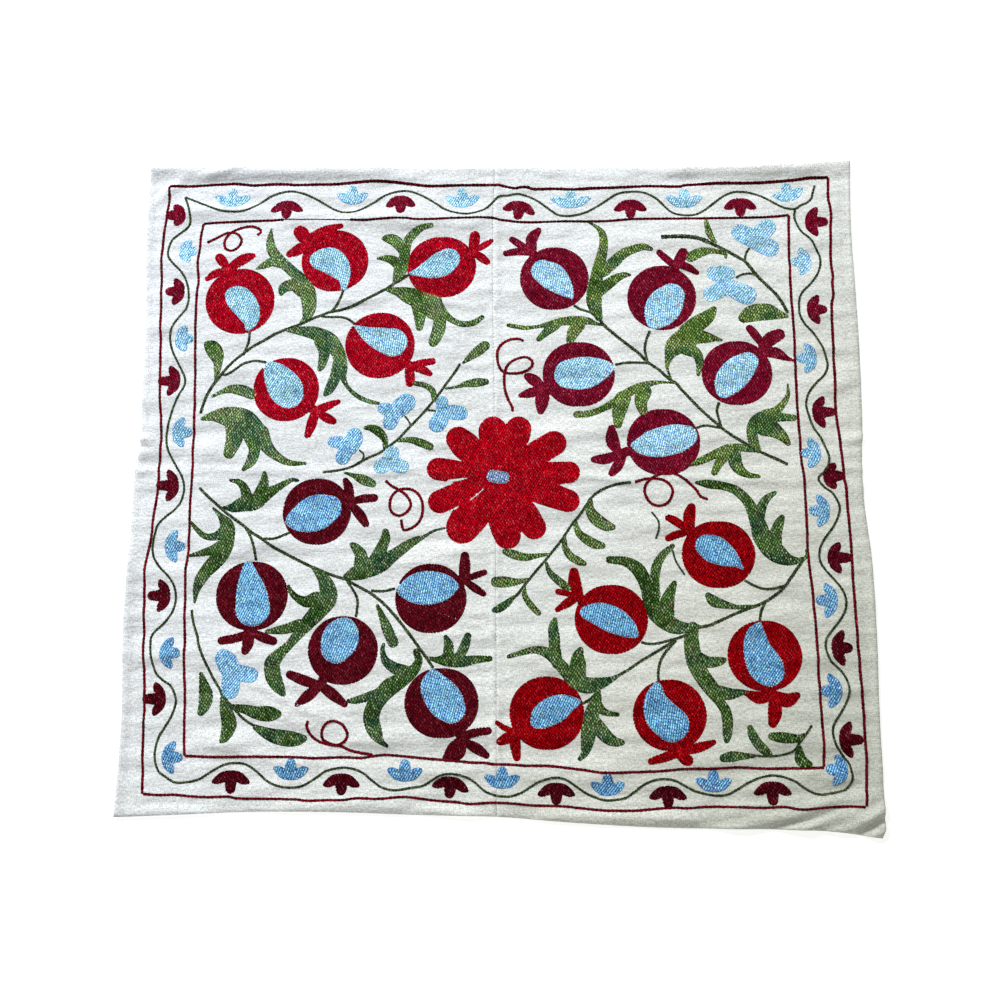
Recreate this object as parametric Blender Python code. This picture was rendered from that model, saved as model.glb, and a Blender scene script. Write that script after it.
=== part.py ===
"""Square suzani cover: two hand-loomed cotton strips sewn edge to edge, laid out on a table.

Each strip is one closed sheet with its turned hem, its soft folds and its lifted margins.
The tables are in millimetres, read from the centre of the cloth: x to the right, y to the far edge.
The model is in metres, +Z up, with its origin under the middle of the whole cover.
"""
import math
from collections import namedtuple

import bmesh
import bpy

MM = 0.001

# Cloth sizes
CLOTH_THICKNESS = 1.2
HEM_THICKNESS = 2.0
HEM_WIDTH = 9.0
HEM_STEP = 3.0
SEAM_GAP = 0.3

# Middle of the whole cover, in the tables' own millimetres
MIDDLE_X = -0.4
MIDDLE_Y = -5.5

# The nominal half width and the nominal length, which set how far apart the mesh lines lie
HALF_WIDTH = 474.0
LENGTH = 862.0

# Outline of the cloth: how far along the edge a point lies, and how far out the edge is there
EdgePoint = namedtuple("EdgePoint", "along out")

LEFT_EDGE = [
    EdgePoint(-432, -473),
    EdgePoint(-370, -471),
    EdgePoint(-300, -471),
    EdgePoint(-190, -476),
    EdgePoint(-70, -475),
    EdgePoint(10, -474),
    EdgePoint(45, -469),
    EdgePoint(90, -471),
    EdgePoint(200, -472),
    EdgePoint(300, -477),
    EdgePoint(390, -479),
    EdgePoint(434, -477),
]
SEAM_LINE = [
    EdgePoint(-426, 6),
    EdgePoint(-250, 4),
    EdgePoint(0, 0),
    EdgePoint(250, -6),
    EdgePoint(350, -7),
    EdgePoint(430, -5),
]
RIGHT_EDGE = [
    EdgePoint(-444, 474),
    EdgePoint(-430, 478),
    EdgePoint(-300, 477),
    EdgePoint(-190, 478),
    EdgePoint(-100, 476),
    EdgePoint(-30, 470),
    EdgePoint(15, 469),
    EdgePoint(80, 472),
    EdgePoint(200, 472),
    EdgePoint(330, 468),
    EdgePoint(432, 470),
]
BOTTOM_EDGE = [
    EdgePoint(-474, -431),
    EdgePoint(-400, -427),
    EdgePoint(-300, -422),
    EdgePoint(-200, -421),
    EdgePoint(-100, -423),
    EdgePoint(0, -424),
    EdgePoint(100, -430),
    EdgePoint(200, -434),
    EdgePoint(400, -435),
    EdgePoint(474, -443),
]
TOP_EDGE = [
    EdgePoint(-474, 432),
    EdgePoint(-350, 431),
    EdgePoint(-200, 429),
    EdgePoint(0, 428),
    EdgePoint(200, 426),
    EdgePoint(320, 425),
    EdgePoint(400, 429),
    EdgePoint(474, 432),
]

# Soft folds: each is a ridge along a line from (x1, y1) to (x2, y2), reach to either side, and its rise
Fold = namedtuple("Fold", "place x1 y1 x2 y2 reach rise")

FOLDS = [
    Fold("top margin, left, lifted", -520, 442, -130, 438, 32, 7.0),
    Fold("top margin, middle, lifted", -190, 440, 270, 436, 25, 3.0),
    Fold("top margin, right, lifted", 220, 438, 520, 438, 32, 6.5),
    Fold("slack along the inner top line", -310, 357, 0, 354, 17, 3.6),
    Fold("slack right of the seam at the top", 10, 420, 70, 402, 12, 1.8),
    Fold("left margin, lower half, lifted", -484, -80, -482, -440, 28, 4.0),
    Fold("left margin, upper half, lifted", -486, 240, -486, 440, 22, 2.0),
    Fold("left edge, first pinch", -492, 57, -436, 45, 10, 6.0),
    Fold("left edge, second pinch", -492, 34, -440, 30, 10, 4.0),
    Fold("left edge, third pinch", -492, 6, -430, 12, 9, 2.5),
    Fold("centre crease, left", -450, 11, -50, 5, 10, 1.7),
    Fold("centre crease, right", 50, 2, 500, -5, 10, 1.6),
    Fold("right edge, upper pinch", 430, 46, 500, 60, 11, 3.2),
    Fold("right edge, middle pinch", 424, 15, 500, 9, 10, 2.6),
    Fold("right edge, lower pinch", 420, -12, 500, -14, 10, 2.4),
    Fold("right margin, upper half, lifted", 484, 440, 482, 240, 26, 3.0),
    Fold("right margin, lower half, lifted", 488, -70, 486, -390, 22, 2.6),
    Fold("border ripple by the lower right corner", 290, -388, 462, -364, 17, 3.2),
    Fold("line ripple by the lower right corner", 270, -414, 492, -393, 14, 3.6),
    Fold("corner ripple, first", 262, -440, 428, -402, 12, 4.2),
    Fold("corner ripple, second", 338, -446, 474, -402, 11, 5.2),
    Fold("corner ripple, third", 384, -452, 498, -400, 11, 5.4),
    Fold("corner ripple, fourth", 436, -458, 504, -414, 11, 4.6),
    Fold("bottom margin, ripple left of the seam", -104, -410, 2, -427, 11, 4.2),
    Fold("bottom margin, right of the seam", 40, -422, 262, -424, 13, 3.6),
    Fold("bottom margin, left", -285, -415, -90, -412, 14, 3.4),
    Fold("bottom margin, lower left corner", -500, -424, -330, -424, 16, 2.6),
    Fold("lower left field, first ripple", -392, -330, -258, -358, 16, 2.2),
    Fold("lower left field, second ripple", -345, -252, -228, -306, 17, 2.2),
    Fold("lower left field, third ripple", -250, -286, -120, -352, 18, 1.8),
    Fold("left of the flower", -240, 66, -84, 8, 20, 1.8),
    Fold("right of the seam, upper field", 112, 216, 196, 178, 20, 1.6),
    Fold("between the right hand fruits", 118, 112, 252, 84, 18, 1.6),
    Fold("lower field by the seam", 14, -232, 118, -244, 16, 1.8),
    Fold("upper left field", -260, 160, -196, 70, 22, 1.4),
    Fold("seam, upper half", -5, 440, 0, 60, 10, 1.0),
    Fold("seam, lower half", 0, -70, 6, -440, 10, 1.0),
]
FOLD_END = 34.0

# Mesh lines: each band runs on to the named distance with lines about one pitch apart
Band = namedtuple("Band", "place end pitch")

COLUMN_BANDS = [
    Band("seam", 14, 5),
    Band("field", 400, 24),
    Band("border and margin", 462, 10),
    Band("hem", HALF_WIDTH, 4),
]
ROW_BANDS = [
    Band("bottom hem", 12, 4),
    Band("bottom margin and border", 78, 9.5),
    Band("lower field", 410, 24),
    Band("centre crease", 454, 7.5),
    Band("upper field", 772, 24),
    Band("top border and margin", 850, 10),
    Band("top hem", LENGTH, 4),
]

COTTON = {"colour": (0.86, 0.85, 0.80, 1.0), "roughness": 0.92, "metallic": 0.0}


def clear_scene():
    for old in list(bpy.data.objects):
        bpy.data.objects.remove(old, do_unlink=True)


def smooth(t):
    t = min(1.0, max(0.0, t))
    return t * t * (3.0 - 2.0 * t)


def along_edge(table, along):
    """The edge's out value at a distance along it, on a smooth curve through the table's points."""
    last = len(table) - 1
    along = min(table[last].along, max(table[0].along, along))
    i = 0
    while i < last - 1 and along > table[i + 1].along:
        i += 1
    before, start, end, after = (table[max(0, i - 1)], table[i], table[i + 1], table[min(last, i + 2)])
    span = end.along - start.along
    t = (along - start.along) / span
    slope_start = (end.out - before.out) / (end.along - before.along)
    slope_end = (after.out - start.out) / (after.along - start.along)
    return (start.out * (2 * t**3 - 3 * t**2 + 1) + end.out * (3 * t**2 - 2 * t**3)
            + span * slope_start * (t**3 - 2 * t**2 + t) + span * slope_end * (t**3 - t**2))


def fold_rise(fold, x, y):
    """How far one fold lifts the cloth at a point."""
    run_x, run_y = fold.x2 - fold.x1, fold.y2 - fold.y1
    length = math.hypot(run_x, run_y)
    along = ((x - fold.x1) * run_x + (y - fold.y1) * run_y) / length
    across = ((x - fold.x1) * run_y - (y - fold.y1) * run_x) / length
    if abs(across) >= fold.reach or along <= 0 or along >= length:
        return 0.0
    ends = smooth(along / FOLD_END) * smooth((length - along) / FOLD_END)
    return fold.rise * ends * (1.0 - (across / fold.reach) ** 2) ** 2


def height(x, y):
    """Underside of the cloth above the table: nothing where it lies flat."""
    return sum(fold_rise(fold, x, y) for fold in FOLDS)


def lines(bands):
    """Distances of the mesh lines, band by band."""
    places = [0.0]
    for band in bands:
        start = places[-1]
        count = max(1, round((band.end - start) / band.pitch))
        places += [start + (band.end - start) * k / count for k in range(1, count + 1)]
    return places


def thickness(from_outer, from_bottom, from_top):
    """One layer of cloth, and more in the turned hem along the three outer edges."""
    edge = min(from_outer, from_bottom, from_top)
    hem = 1.0 - smooth((edge - HEM_WIDTH) / HEM_STEP)
    return CLOTH_THICKNESS + (HEM_THICKNESS - CLOTH_THICKNESS) * hem


def cotton_material(name):
    material = bpy.data.materials.new(name)
    material.use_nodes = True
    shader = material.node_tree.nodes["Principled BSDF"]
    shader.inputs["Base Color"].default_value = COTTON["colour"]
    shader.inputs["Roughness"].default_value = COTTON["roughness"]
    shader.inputs["Metallic"].default_value = COTTON["metallic"]
    return material


def add_strip(name, outer_edge, side):
    """One loom strip from the seam to its outer edge; side is -1 on the left and 1 on the right."""
    columns = lines(COLUMN_BANDS)
    rows = lines(ROW_BANDS)
    mesh = bmesh.new()
    bmesh.ops.create_grid(mesh, x_segments=len(columns) - 1, y_segments=len(rows) - 1, size=0.5)
    layers = {}
    for vert in mesh.verts:
        column = columns[round((vert.co.x + 0.5) * (len(columns) - 1))]
        row = rows[round((vert.co.y + 0.5) * (len(rows) - 1))]
        near_x = side * column
        bottom = along_edge(BOTTOM_EDGE, near_x)
        top = along_edge(TOP_EDGE, near_x)
        y = bottom + (top - bottom) * row / LENGTH
        seam = along_edge(SEAM_LINE, y) + side * SEAM_GAP / 2
        x = seam + (along_edge(outer_edge, y) - seam) * column / HALF_WIDTH
        vert.co = (x, y, height(x, y))
        layers[vert] = thickness(HALF_WIDTH - column, row, LENGTH - row)
    upper = bmesh.ops.duplicate(mesh, geom=mesh.verts[:] + mesh.edges[:] + mesh.faces[:])
    for vert, copy in upper["vert_map"].items():
        if vert in layers:
            copy.co.z += layers[vert]
    rim = [edge for edge in mesh.edges if edge.is_boundary]
    bmesh.ops.bridge_loops(mesh, edges=rim)
    bmesh.ops.recalc_face_normals(mesh, faces=mesh.faces[:])
    for vert in mesh.verts:
        vert.co = ((vert.co.x - MIDDLE_X) * MM, (vert.co.y - MIDDLE_Y) * MM, vert.co.z * MM)
    data = bpy.data.meshes.new(name)
    mesh.to_mesh(data)
    mesh.free()
    data.materials.append(cotton_material(name + "_cotton"))
    data.shade_smooth()
    data.set_sharp_from_angle(angle=math.radians(40))
    strip = bpy.data.objects.new(name, data)
    bpy.context.scene.collection.objects.link(strip)
    return strip


def main():
    clear_scene()
    add_strip("panel_left", LEFT_EDGE, -1)
    add_strip("panel_right", RIGHT_EDGE, 1)


main()
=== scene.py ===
"""Looks of the suzani cover: two cotton strips sewn edge to edge, and the silk embroidery on them.

The tables are in millimetres, read from the centre of the cloth: x to the right, y to the far edge.
The scene is in metres in the frame's own coordinates, with its origin under the middle of the cover.
"""

import math
import random
from collections import namedtuple

import bmesh
import bpy
import numpy as np
from mathutils import Matrix, Vector, noise
from mathutils.bvhtree import BVHTree


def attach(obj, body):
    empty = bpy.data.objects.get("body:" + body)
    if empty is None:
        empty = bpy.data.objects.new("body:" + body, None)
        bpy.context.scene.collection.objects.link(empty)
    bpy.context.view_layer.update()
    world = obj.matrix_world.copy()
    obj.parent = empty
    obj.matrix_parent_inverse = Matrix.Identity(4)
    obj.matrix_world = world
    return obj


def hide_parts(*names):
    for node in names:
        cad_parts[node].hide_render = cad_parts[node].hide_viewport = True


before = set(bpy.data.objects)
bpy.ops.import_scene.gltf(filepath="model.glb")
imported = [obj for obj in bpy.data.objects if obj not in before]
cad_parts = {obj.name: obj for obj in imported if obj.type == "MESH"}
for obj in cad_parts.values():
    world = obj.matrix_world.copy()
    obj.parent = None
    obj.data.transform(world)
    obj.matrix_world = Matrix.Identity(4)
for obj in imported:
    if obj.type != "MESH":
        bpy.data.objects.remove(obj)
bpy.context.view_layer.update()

MM = 0.001

# Cloth sizes
CLOTH_THICKNESS = 1.2
HEM_THICKNESS = 2.0
HEM_WIDTH = 9.0
HEM_STEP = 3.0
SEAM_GAP = 0.3

# Middle of the whole cover, in the tables' own millimetres
MIDDLE_X = -0.4
MIDDLE_Y = -5.5

# The nominal half width and the nominal length, which set how far apart the mesh lines lie
HALF_WIDTH = 474.0
LENGTH = 862.0

# Outline of the cloth: how far along the edge a point lies, and how far out the edge is there
EdgePoint = namedtuple("EdgePoint", "along out")

LEFT_EDGE = [EdgePoint(*row) for row in (
    (-432, -473), (-370, -471), (-300, -471), (-190, -476),
    (-70, -475), (10, -474), (45, -469), (90, -471),
    (200, -472), (300, -477), (390, -479), (434, -477),
)]
SEAM_LINE = [EdgePoint(*row) for row in (
    (-426, 6), (-250, 4), (0, 0),
    (250, -6), (350, -7), (430, -5),
)]
RIGHT_EDGE = [EdgePoint(*row) for row in (
    (-444, 474), (-430, 478), (-300, 477), (-190, 478),
    (-100, 476), (-30, 470), (15, 469), (80, 472),
    (200, 472), (330, 468), (432, 470),
)]
BOTTOM_EDGE = [EdgePoint(*row) for row in (
    (-474, -431), (-400, -427), (-300, -422), (-200, -421),
    (-100, -423), (0, -424), (100, -430), (200, -434),
    (400, -435), (474, -443),
)]
TOP_EDGE = [EdgePoint(*row) for row in (
    (-474, 432), (-350, 431), (-200, 429), (0, 428),
    (200, 426), (320, 425), (400, 429), (474, 432),
)]

# Soft folds: each is a ridge along a line from (x1, y1) to (x2, y2), reach to either side, and its rise
Fold = namedtuple("Fold", "place x1 y1 x2 y2 reach rise")

FOLDS = [
    Fold("top margin, left, lifted", -520, 442, -130, 438, 32, 7.0),
    Fold("top margin, middle, lifted", -190, 440, 270, 436, 25, 3.0),
    Fold("top margin, right, lifted", 220, 438, 520, 438, 32, 6.5),
    Fold("slack along the inner top line", -310, 357, 0, 354, 17, 3.6),
    Fold("slack right of the seam at the top", 10, 420, 70, 402, 12, 1.8),
    Fold("left margin, lower half, lifted", -484, -80, -482, -440, 28, 4.0),
    Fold("left margin, upper half, lifted", -486, 240, -486, 440, 22, 2.0),
    Fold("left edge, first pinch", -492, 57, -436, 45, 10, 6.0),
    Fold("left edge, second pinch", -492, 34, -440, 30, 10, 4.0),
    Fold("left edge, third pinch", -492, 6, -430, 12, 9, 2.5),
    Fold("centre crease, left", -450, 11, -50, 5, 10, 1.7),
    Fold("centre crease, right", 50, 2, 500, -5, 10, 1.6),
    Fold("right edge, upper pinch", 430, 46, 500, 60, 11, 3.2),
    Fold("right edge, middle pinch", 424, 15, 500, 9, 10, 2.6),
    Fold("right edge, lower pinch", 420, -12, 500, -14, 10, 2.4),
    Fold("right margin, upper half, lifted", 484, 440, 482, 240, 26, 3.0),
    Fold("right margin, lower half, lifted", 488, -70, 486, -390, 22, 2.6),
    Fold("border ripple by the lower right corner", 290, -388, 462, -364, 17, 3.2),
    Fold("line ripple by the lower right corner", 270, -414, 492, -393, 14, 3.6),
    Fold("corner ripple, first", 262, -440, 428, -402, 12, 4.2),
    Fold("corner ripple, second", 338, -446, 474, -402, 11, 5.2),
    Fold("corner ripple, third", 384, -452, 498, -400, 11, 5.4),
    Fold("corner ripple, fourth", 436, -458, 504, -414, 11, 4.6),
    Fold("bottom margin, ripple left of the seam", -104, -410, 2, -427, 11, 4.2),
    Fold("bottom margin, right of the seam", 40, -422, 262, -424, 13, 3.6),
    Fold("bottom margin, left", -285, -415, -90, -412, 14, 3.4),
    Fold("bottom margin, lower left corner", -500, -424, -330, -424, 16, 2.6),
    Fold("lower left field, first ripple", -392, -330, -258, -358, 16, 2.2),
    Fold("lower left field, second ripple", -345, -252, -228, -306, 17, 2.2),
    Fold("lower left field, third ripple", -250, -286, -120, -352, 18, 1.8),
    Fold("left of the flower", -240, 66, -84, 8, 20, 1.8),
    Fold("right of the seam, upper field", 112, 216, 196, 178, 20, 1.6),
    Fold("between the right hand fruits", 118, 112, 252, 84, 18, 1.6),
    Fold("lower field by the seam", 14, -232, 118, -244, 16, 1.8),
    Fold("upper left field", -260, 160, -196, 70, 22, 1.4),
    Fold("seam, upper half", -5, 440, 0, 60, 10, 1.0),
    Fold("seam, lower half", 0, -70, 6, -440, 10, 1.0),
]
# How far in from its ends a fold has its full rise
FOLD_END = 34.0

# Small creases that show in the cloth's face alone, as soft ridges on the folds
CREASES = [
    Fold("top margin, left, rolled edge", -450, 421, -225, 421, 12, 3.2),
    Fold("top margin, left of the seam", -245, 421, -90, 416, 10, 2.2),
    Fold("top margin, right, rolled edge", 195, 418, 440, 420, 12, 3.2),
    Fold("top margin, right of the seam", 40, 420, 190, 412, 9, 1.6),
    Fold("top left corner, turned", -484, 368, -416, 428, 10, 2.4),
    Fold("lower right margin, long crease", 180, -424, 400, -417, 10, 2.0),
    Fold("left of the seam, below the flower", -112, -90, -22, -106, 8, 1.3),
    Fold("right of the flower", 108, 4, 216, -12, 9, 1.6),
    Fold("lower left field, across the leaves", -345, -268, -225, -322, 10, 1.8),
    Fold("lower left field, by the leaf tips", -372, -160, -268, -192, 9, 1.3),
    Fold("upper left field, by the spray", -130, 214, -36, 146, 9, 1.2),
    Fold("left of the flower, above", -124, 28, -44, 52, 7, 1.4),
    Fold("left of the flower, at its petals", -180, 4, -72, 15, 6, 1.5),
    Fold("right of the flower, above", 84, 46, 166, 27, 7, 1.6),
    Fold("right of the flower, at its petals", 96, 7, 204, -8, 6, 1.3),
    Fold("right field, along the middle", 220, -1, 320, -1, 6, 0.9),
    Fold("left of the seam, under the top fruit", -82, 241, 0, 224, 6, 1.5),
    Fold("left of the seam, beside the top fruit", -60, 263, 4, 253, 6, 1.2),
    Fold("below the flower, by the fruit", -106, -83, -2, -102, 7, 1.7),
    Fold("left of the seam, lower field", -78, -173, 12, -199, 6, 1.5),
    Fold("lower left field, long ridge", -318, -257, -205, -311, 7, 2.0),
    Fold("lower left field, between the fruits", -192, -173, -72, -225, 7, 1.2),
    Fold("upper left field, between the fruits", -168, 272, -102, 252, 6, 1.2),
    Fold("upper left field, under the fruit", -224, 234, -136, 248, 6, 0.9),
    Fold("right field, under the flower", 128, -4, 202, -40, 7, 1.1),
    Fold("right of the flower, top petals", 78, 70, 150, 58, 6, 1.3),
    Fold("left of the seam, upper spray", -112, 197, -26, 182, 6, 1.1),
    Fold("left field, above the leaf", -394, 90, -292, 116, 8, 0.9),
    Fold("right field, between the fruits", 220, 123, 304, 93, 7, 0.9),
    Fold("right of the seam, lower leaves", -6, -223, 80, -204, 7, 1.1),
    Fold("lower right field, above the leaf", 226, -144, 318, -172, 7, 0.9),
    Fold("lower right corner, first wrinkle", 270, -439, 440, -407, 6, 1.6),
    Fold("lower right corner, second wrinkle", 330, -441, 410, -419, 6, 1.6),
    Fold("lower right corner, third wrinkle", 355, -446, 450, -400, 6, 2.0),
    Fold("lower right corner, fourth wrinkle", 372, -450, 444, -412, 6, 1.6),
    Fold("lower right corner, fifth wrinkle", 418, -452, 496, -388, 7, 2.2),
    Fold("lower right corner, sixth wrinkle", 436, -440, 500, -396, 6, 1.4),
    Fold("top left corner, slanting wrinkle", -424, 409, -334, 438, 7, 2.0),
]

# Rounding of the cloth: the share of its thickness that is left at its edge, and how far in it is full again
EDGE_SHARE, EDGE_ROUND = 0.55, 1.2
SELVEDGE_SHARE, SELVEDGE_ROUND = 0.45, 1.6

# A stitch nearer to the seam than this takes the height of the cloth this far from it
SELVEDGE = 1.8

# Height above the cloth from which its face is read
RAY_START = 60.0

# How high the loose cloth stands off the table on the whole, the share of that at its edge, and how far in
# from the edge and from the seam it is fully loose
SLACK_LIFT = 2.3
SLACK_AT_EDGE, SLACK_FROM_EDGE = 0.3, 20.0
SLACK_FROM_SEAM = 6.0

# Unevenness of the cloth: its length across the strips and along them, its layer in the noise, and its rise
Waves = namedtuple("Waves", "across along layer rise")
WEFT_WAVES = Waves(95.0, 24.0, 3.0, 3.1)
RIPPLES = Waves(38.0, 13.0, 6.0, 1.15)
RIPPLE_SLANT = 60.0
PUCKERS = Waves(15.0, 7.0, 9.0, 0.15)

# Puckers that the seam's stitches draw: their reach, their rise, their rhythm and how that drifts
SEAM_REACH = 12.0
SEAM_RISE = 0.30
SEAM_RHYTHM = 1.9
SEAM_DRIFT, SEAM_DRIFT_LENGTH = 1.3, 23.0

# Mesh lines: each band runs on to the named distance with lines about one pitch apart
Band = namedtuple("Band", "end pitch")
COLUMN_BANDS = [Band(0.8, 0.8), Band(14, 3.3), Band(460, 4.4), Band(472.8, 3.2), Band(HALF_WIDTH, 1.2)]
ROW_BANDS = [Band(1.2, 1.2), Band(14, 3.2), Band(848, 3.5), Band(860.8, 3.2), Band(LENGTH, 1.2)]

# Red frame lines
OUTER_LINE = {
    "top": [
        (-450, 405), (-420, 405.5), (-380, 407.5), (-358, 408.5), (-335, 406), (-310, 407), (-290, 407),
        (-270, 405.5), (-230, 406.5), (-210, 407.5), (-190, 409), (-165, 410), (-140, 408.5), (-120, 406),
        (-100, 403.5), (-85, 402.5), (-50, 403), (-6, 403), (0, 403), (9, 401), (22, 398), (28, 399.5),
        (40, 399), (48, 396.5), (77, 397), (100, 396), (123, 397), (154, 397.5), (185, 399), (201, 400),
        (240, 399), (250, 401), (271, 402), (300, 403), (332, 402.5), (351, 403.5), (378, 405),
        (400, 407), (415, 409), (440.5, 410),
    ],
    "right": [
        (440.5, 410), (439.5, 381), (441, 369), (442, 356), (441, 341), (440.5, 323), (440, 301),
        (440, 286), (441.5, 272), (440, 261), (441, 244), (439, 236), (438, 215), (438.5, 194),
        (438.5, 148), (438.5, 86), (441, 63), (443, 40), (445.5, 0), (447, -8), (449, -46), (451, -93),
        (451.5, -139), (453, -177), (454.5, -220), (456, -253), (457.5, -292), (458, -323), (458.5, -353),
        (457, -384), (455.5, -405),
    ],
    "bottom": [
        (-437, -402), (-416, -403), (-398, -402.5), (-379, -404), (-355, -405), (-330, -404), (-313, -406),
        (-250, -406), (-230, -407.5), (-207, -406.5), (-185, -406), (-167, -403.5), (-142, -404),
        (-119, -402), (-105, -401.5), (-88, -403.5), (-65, -406), (-45, -407), (-28, -409), (0, -407),
        (23, -407.5), (51, -409.5), (85, -410), (108, -412), (131, -414), (148, -414.5), (177, -414),
        (208, -411), (226, -410), (240, -410.5), (263, -408.5), (301, -408), (332, -408.5), (355, -407),
        (374, -409.5), (388, -409), (406, -407), (425, -406), (440, -405.5), (454.5, -406),
    ],
    "left": [
        (-450, 405), (-449, 390), (-450, 375), (-451.5, 360), (-454, 340), (-455, 320), (-455, 300),
        (-454, 280), (-453, 260), (-452, 240), (-451, 209), (-449, 171), (-448, 140), (-446, 112),
        (-444, 89), (-441.5, 63), (-441, 32), (-442, 15), (-441, 0), (-443, -31), (-445, -54),
        (-446, -77), (-449, -96), (-452, -116), (-451.5, -146), (-450, -177), (-448.5, -200),
        (-448, -220), (-445.5, -246), (-443, -276), (-442, -301), (-441.5, -332), (-440, -363),
        (-438, -402),
    ],
}
INNER_LINE = {
    "top": [
        (-401, 352), (-385, 353), (-350, 354), (-330, 354.5), (-310, 355), (-290, 355.5), (-240, 355.5),
        (-200, 354), (-180, 353.5), (-160, 354.5), (-140, 355.5), (-125, 355.5), (-110, 354), (-90, 354),
        (-60, 355.5), (-30, 356), (-8, 356), (0, 354), (15, 352), (35, 350), (71, 350.5), (138, 350.5),
        (163, 352), (185, 353.5), (240, 353.5), (286, 353), (332, 354), (360, 355), (387, 357),
    ],
    "right": [
        (387, 357), (386, 338), (385.5, 320), (385.5, 301), (386, 286), (385.5, 270), (386, 255),
        (386.5, 240), (388.5, 194), (388.5, 163), (389, 125), (389.5, 86), (391.5, 48), (392, 25),
        (395, 0), (396, -46), (396.5, -93), (398.5, -123), (401, -154), (403, -193), (404, -220),
        (404.5, -253), (406, -292), (407.5, -338), (406.5, -359),
    ],
    "bottom": [
        (-387, -355), (-351, -356), (-305, -355), (-250, -355), (-222, -356), (-188, -354.5), (-164, -355),
        (-150, -352.5), (-133, -351), (-111, -352.5), (-81, -355), (-50, -357), (-27, -359), (-10, -359),
        (0, -360.5), (23, -361), (43, -362), (69, -362), (92, -364), (115, -366.5), (134, -369),
        (154, -369), (177, -368), (208, -366.5), (240, -363.5), (271, -363), (301, -361), (332, -362),
        (363, -361.5), (394, -360.5), (406.5, -360),
    ],
    "left": [
        (-401, 352), (-403, 335), (-404, 315), (-405, 295), (-403, 270), (-404, 250), (-404, 220),
        (-403.5, 201), (-401.5, 163), (-400, 129), (-399, 108), (-398, 71), (-398, 40), (-397, 0),
        (-398, -31), (-397, -54), (-396.5, -93), (-398.5, -116), (-398, -146), (-397, -177), (-396, -200),
        (-394.5, -215), (-394, -246), (-391, -276), (-390, -307), (-389, -335), (-387, -355),
    ],
}

# Widths of the frame lines, and the length of one link of their chain
OUTER_WIDTHS = {"top": 4.2, "right": 3.7, "bottom": 3.3, "left": 3.5}
INNER_WIDTH = 3.5
LINE_LINK = 5.0

# The stretch of the inner top line that a fold all but hides, first and last of its points, and its width
HIDDEN_FROM, HIDDEN_TO, HIDDEN_WIDTH = 5, 7, 1.3

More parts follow.
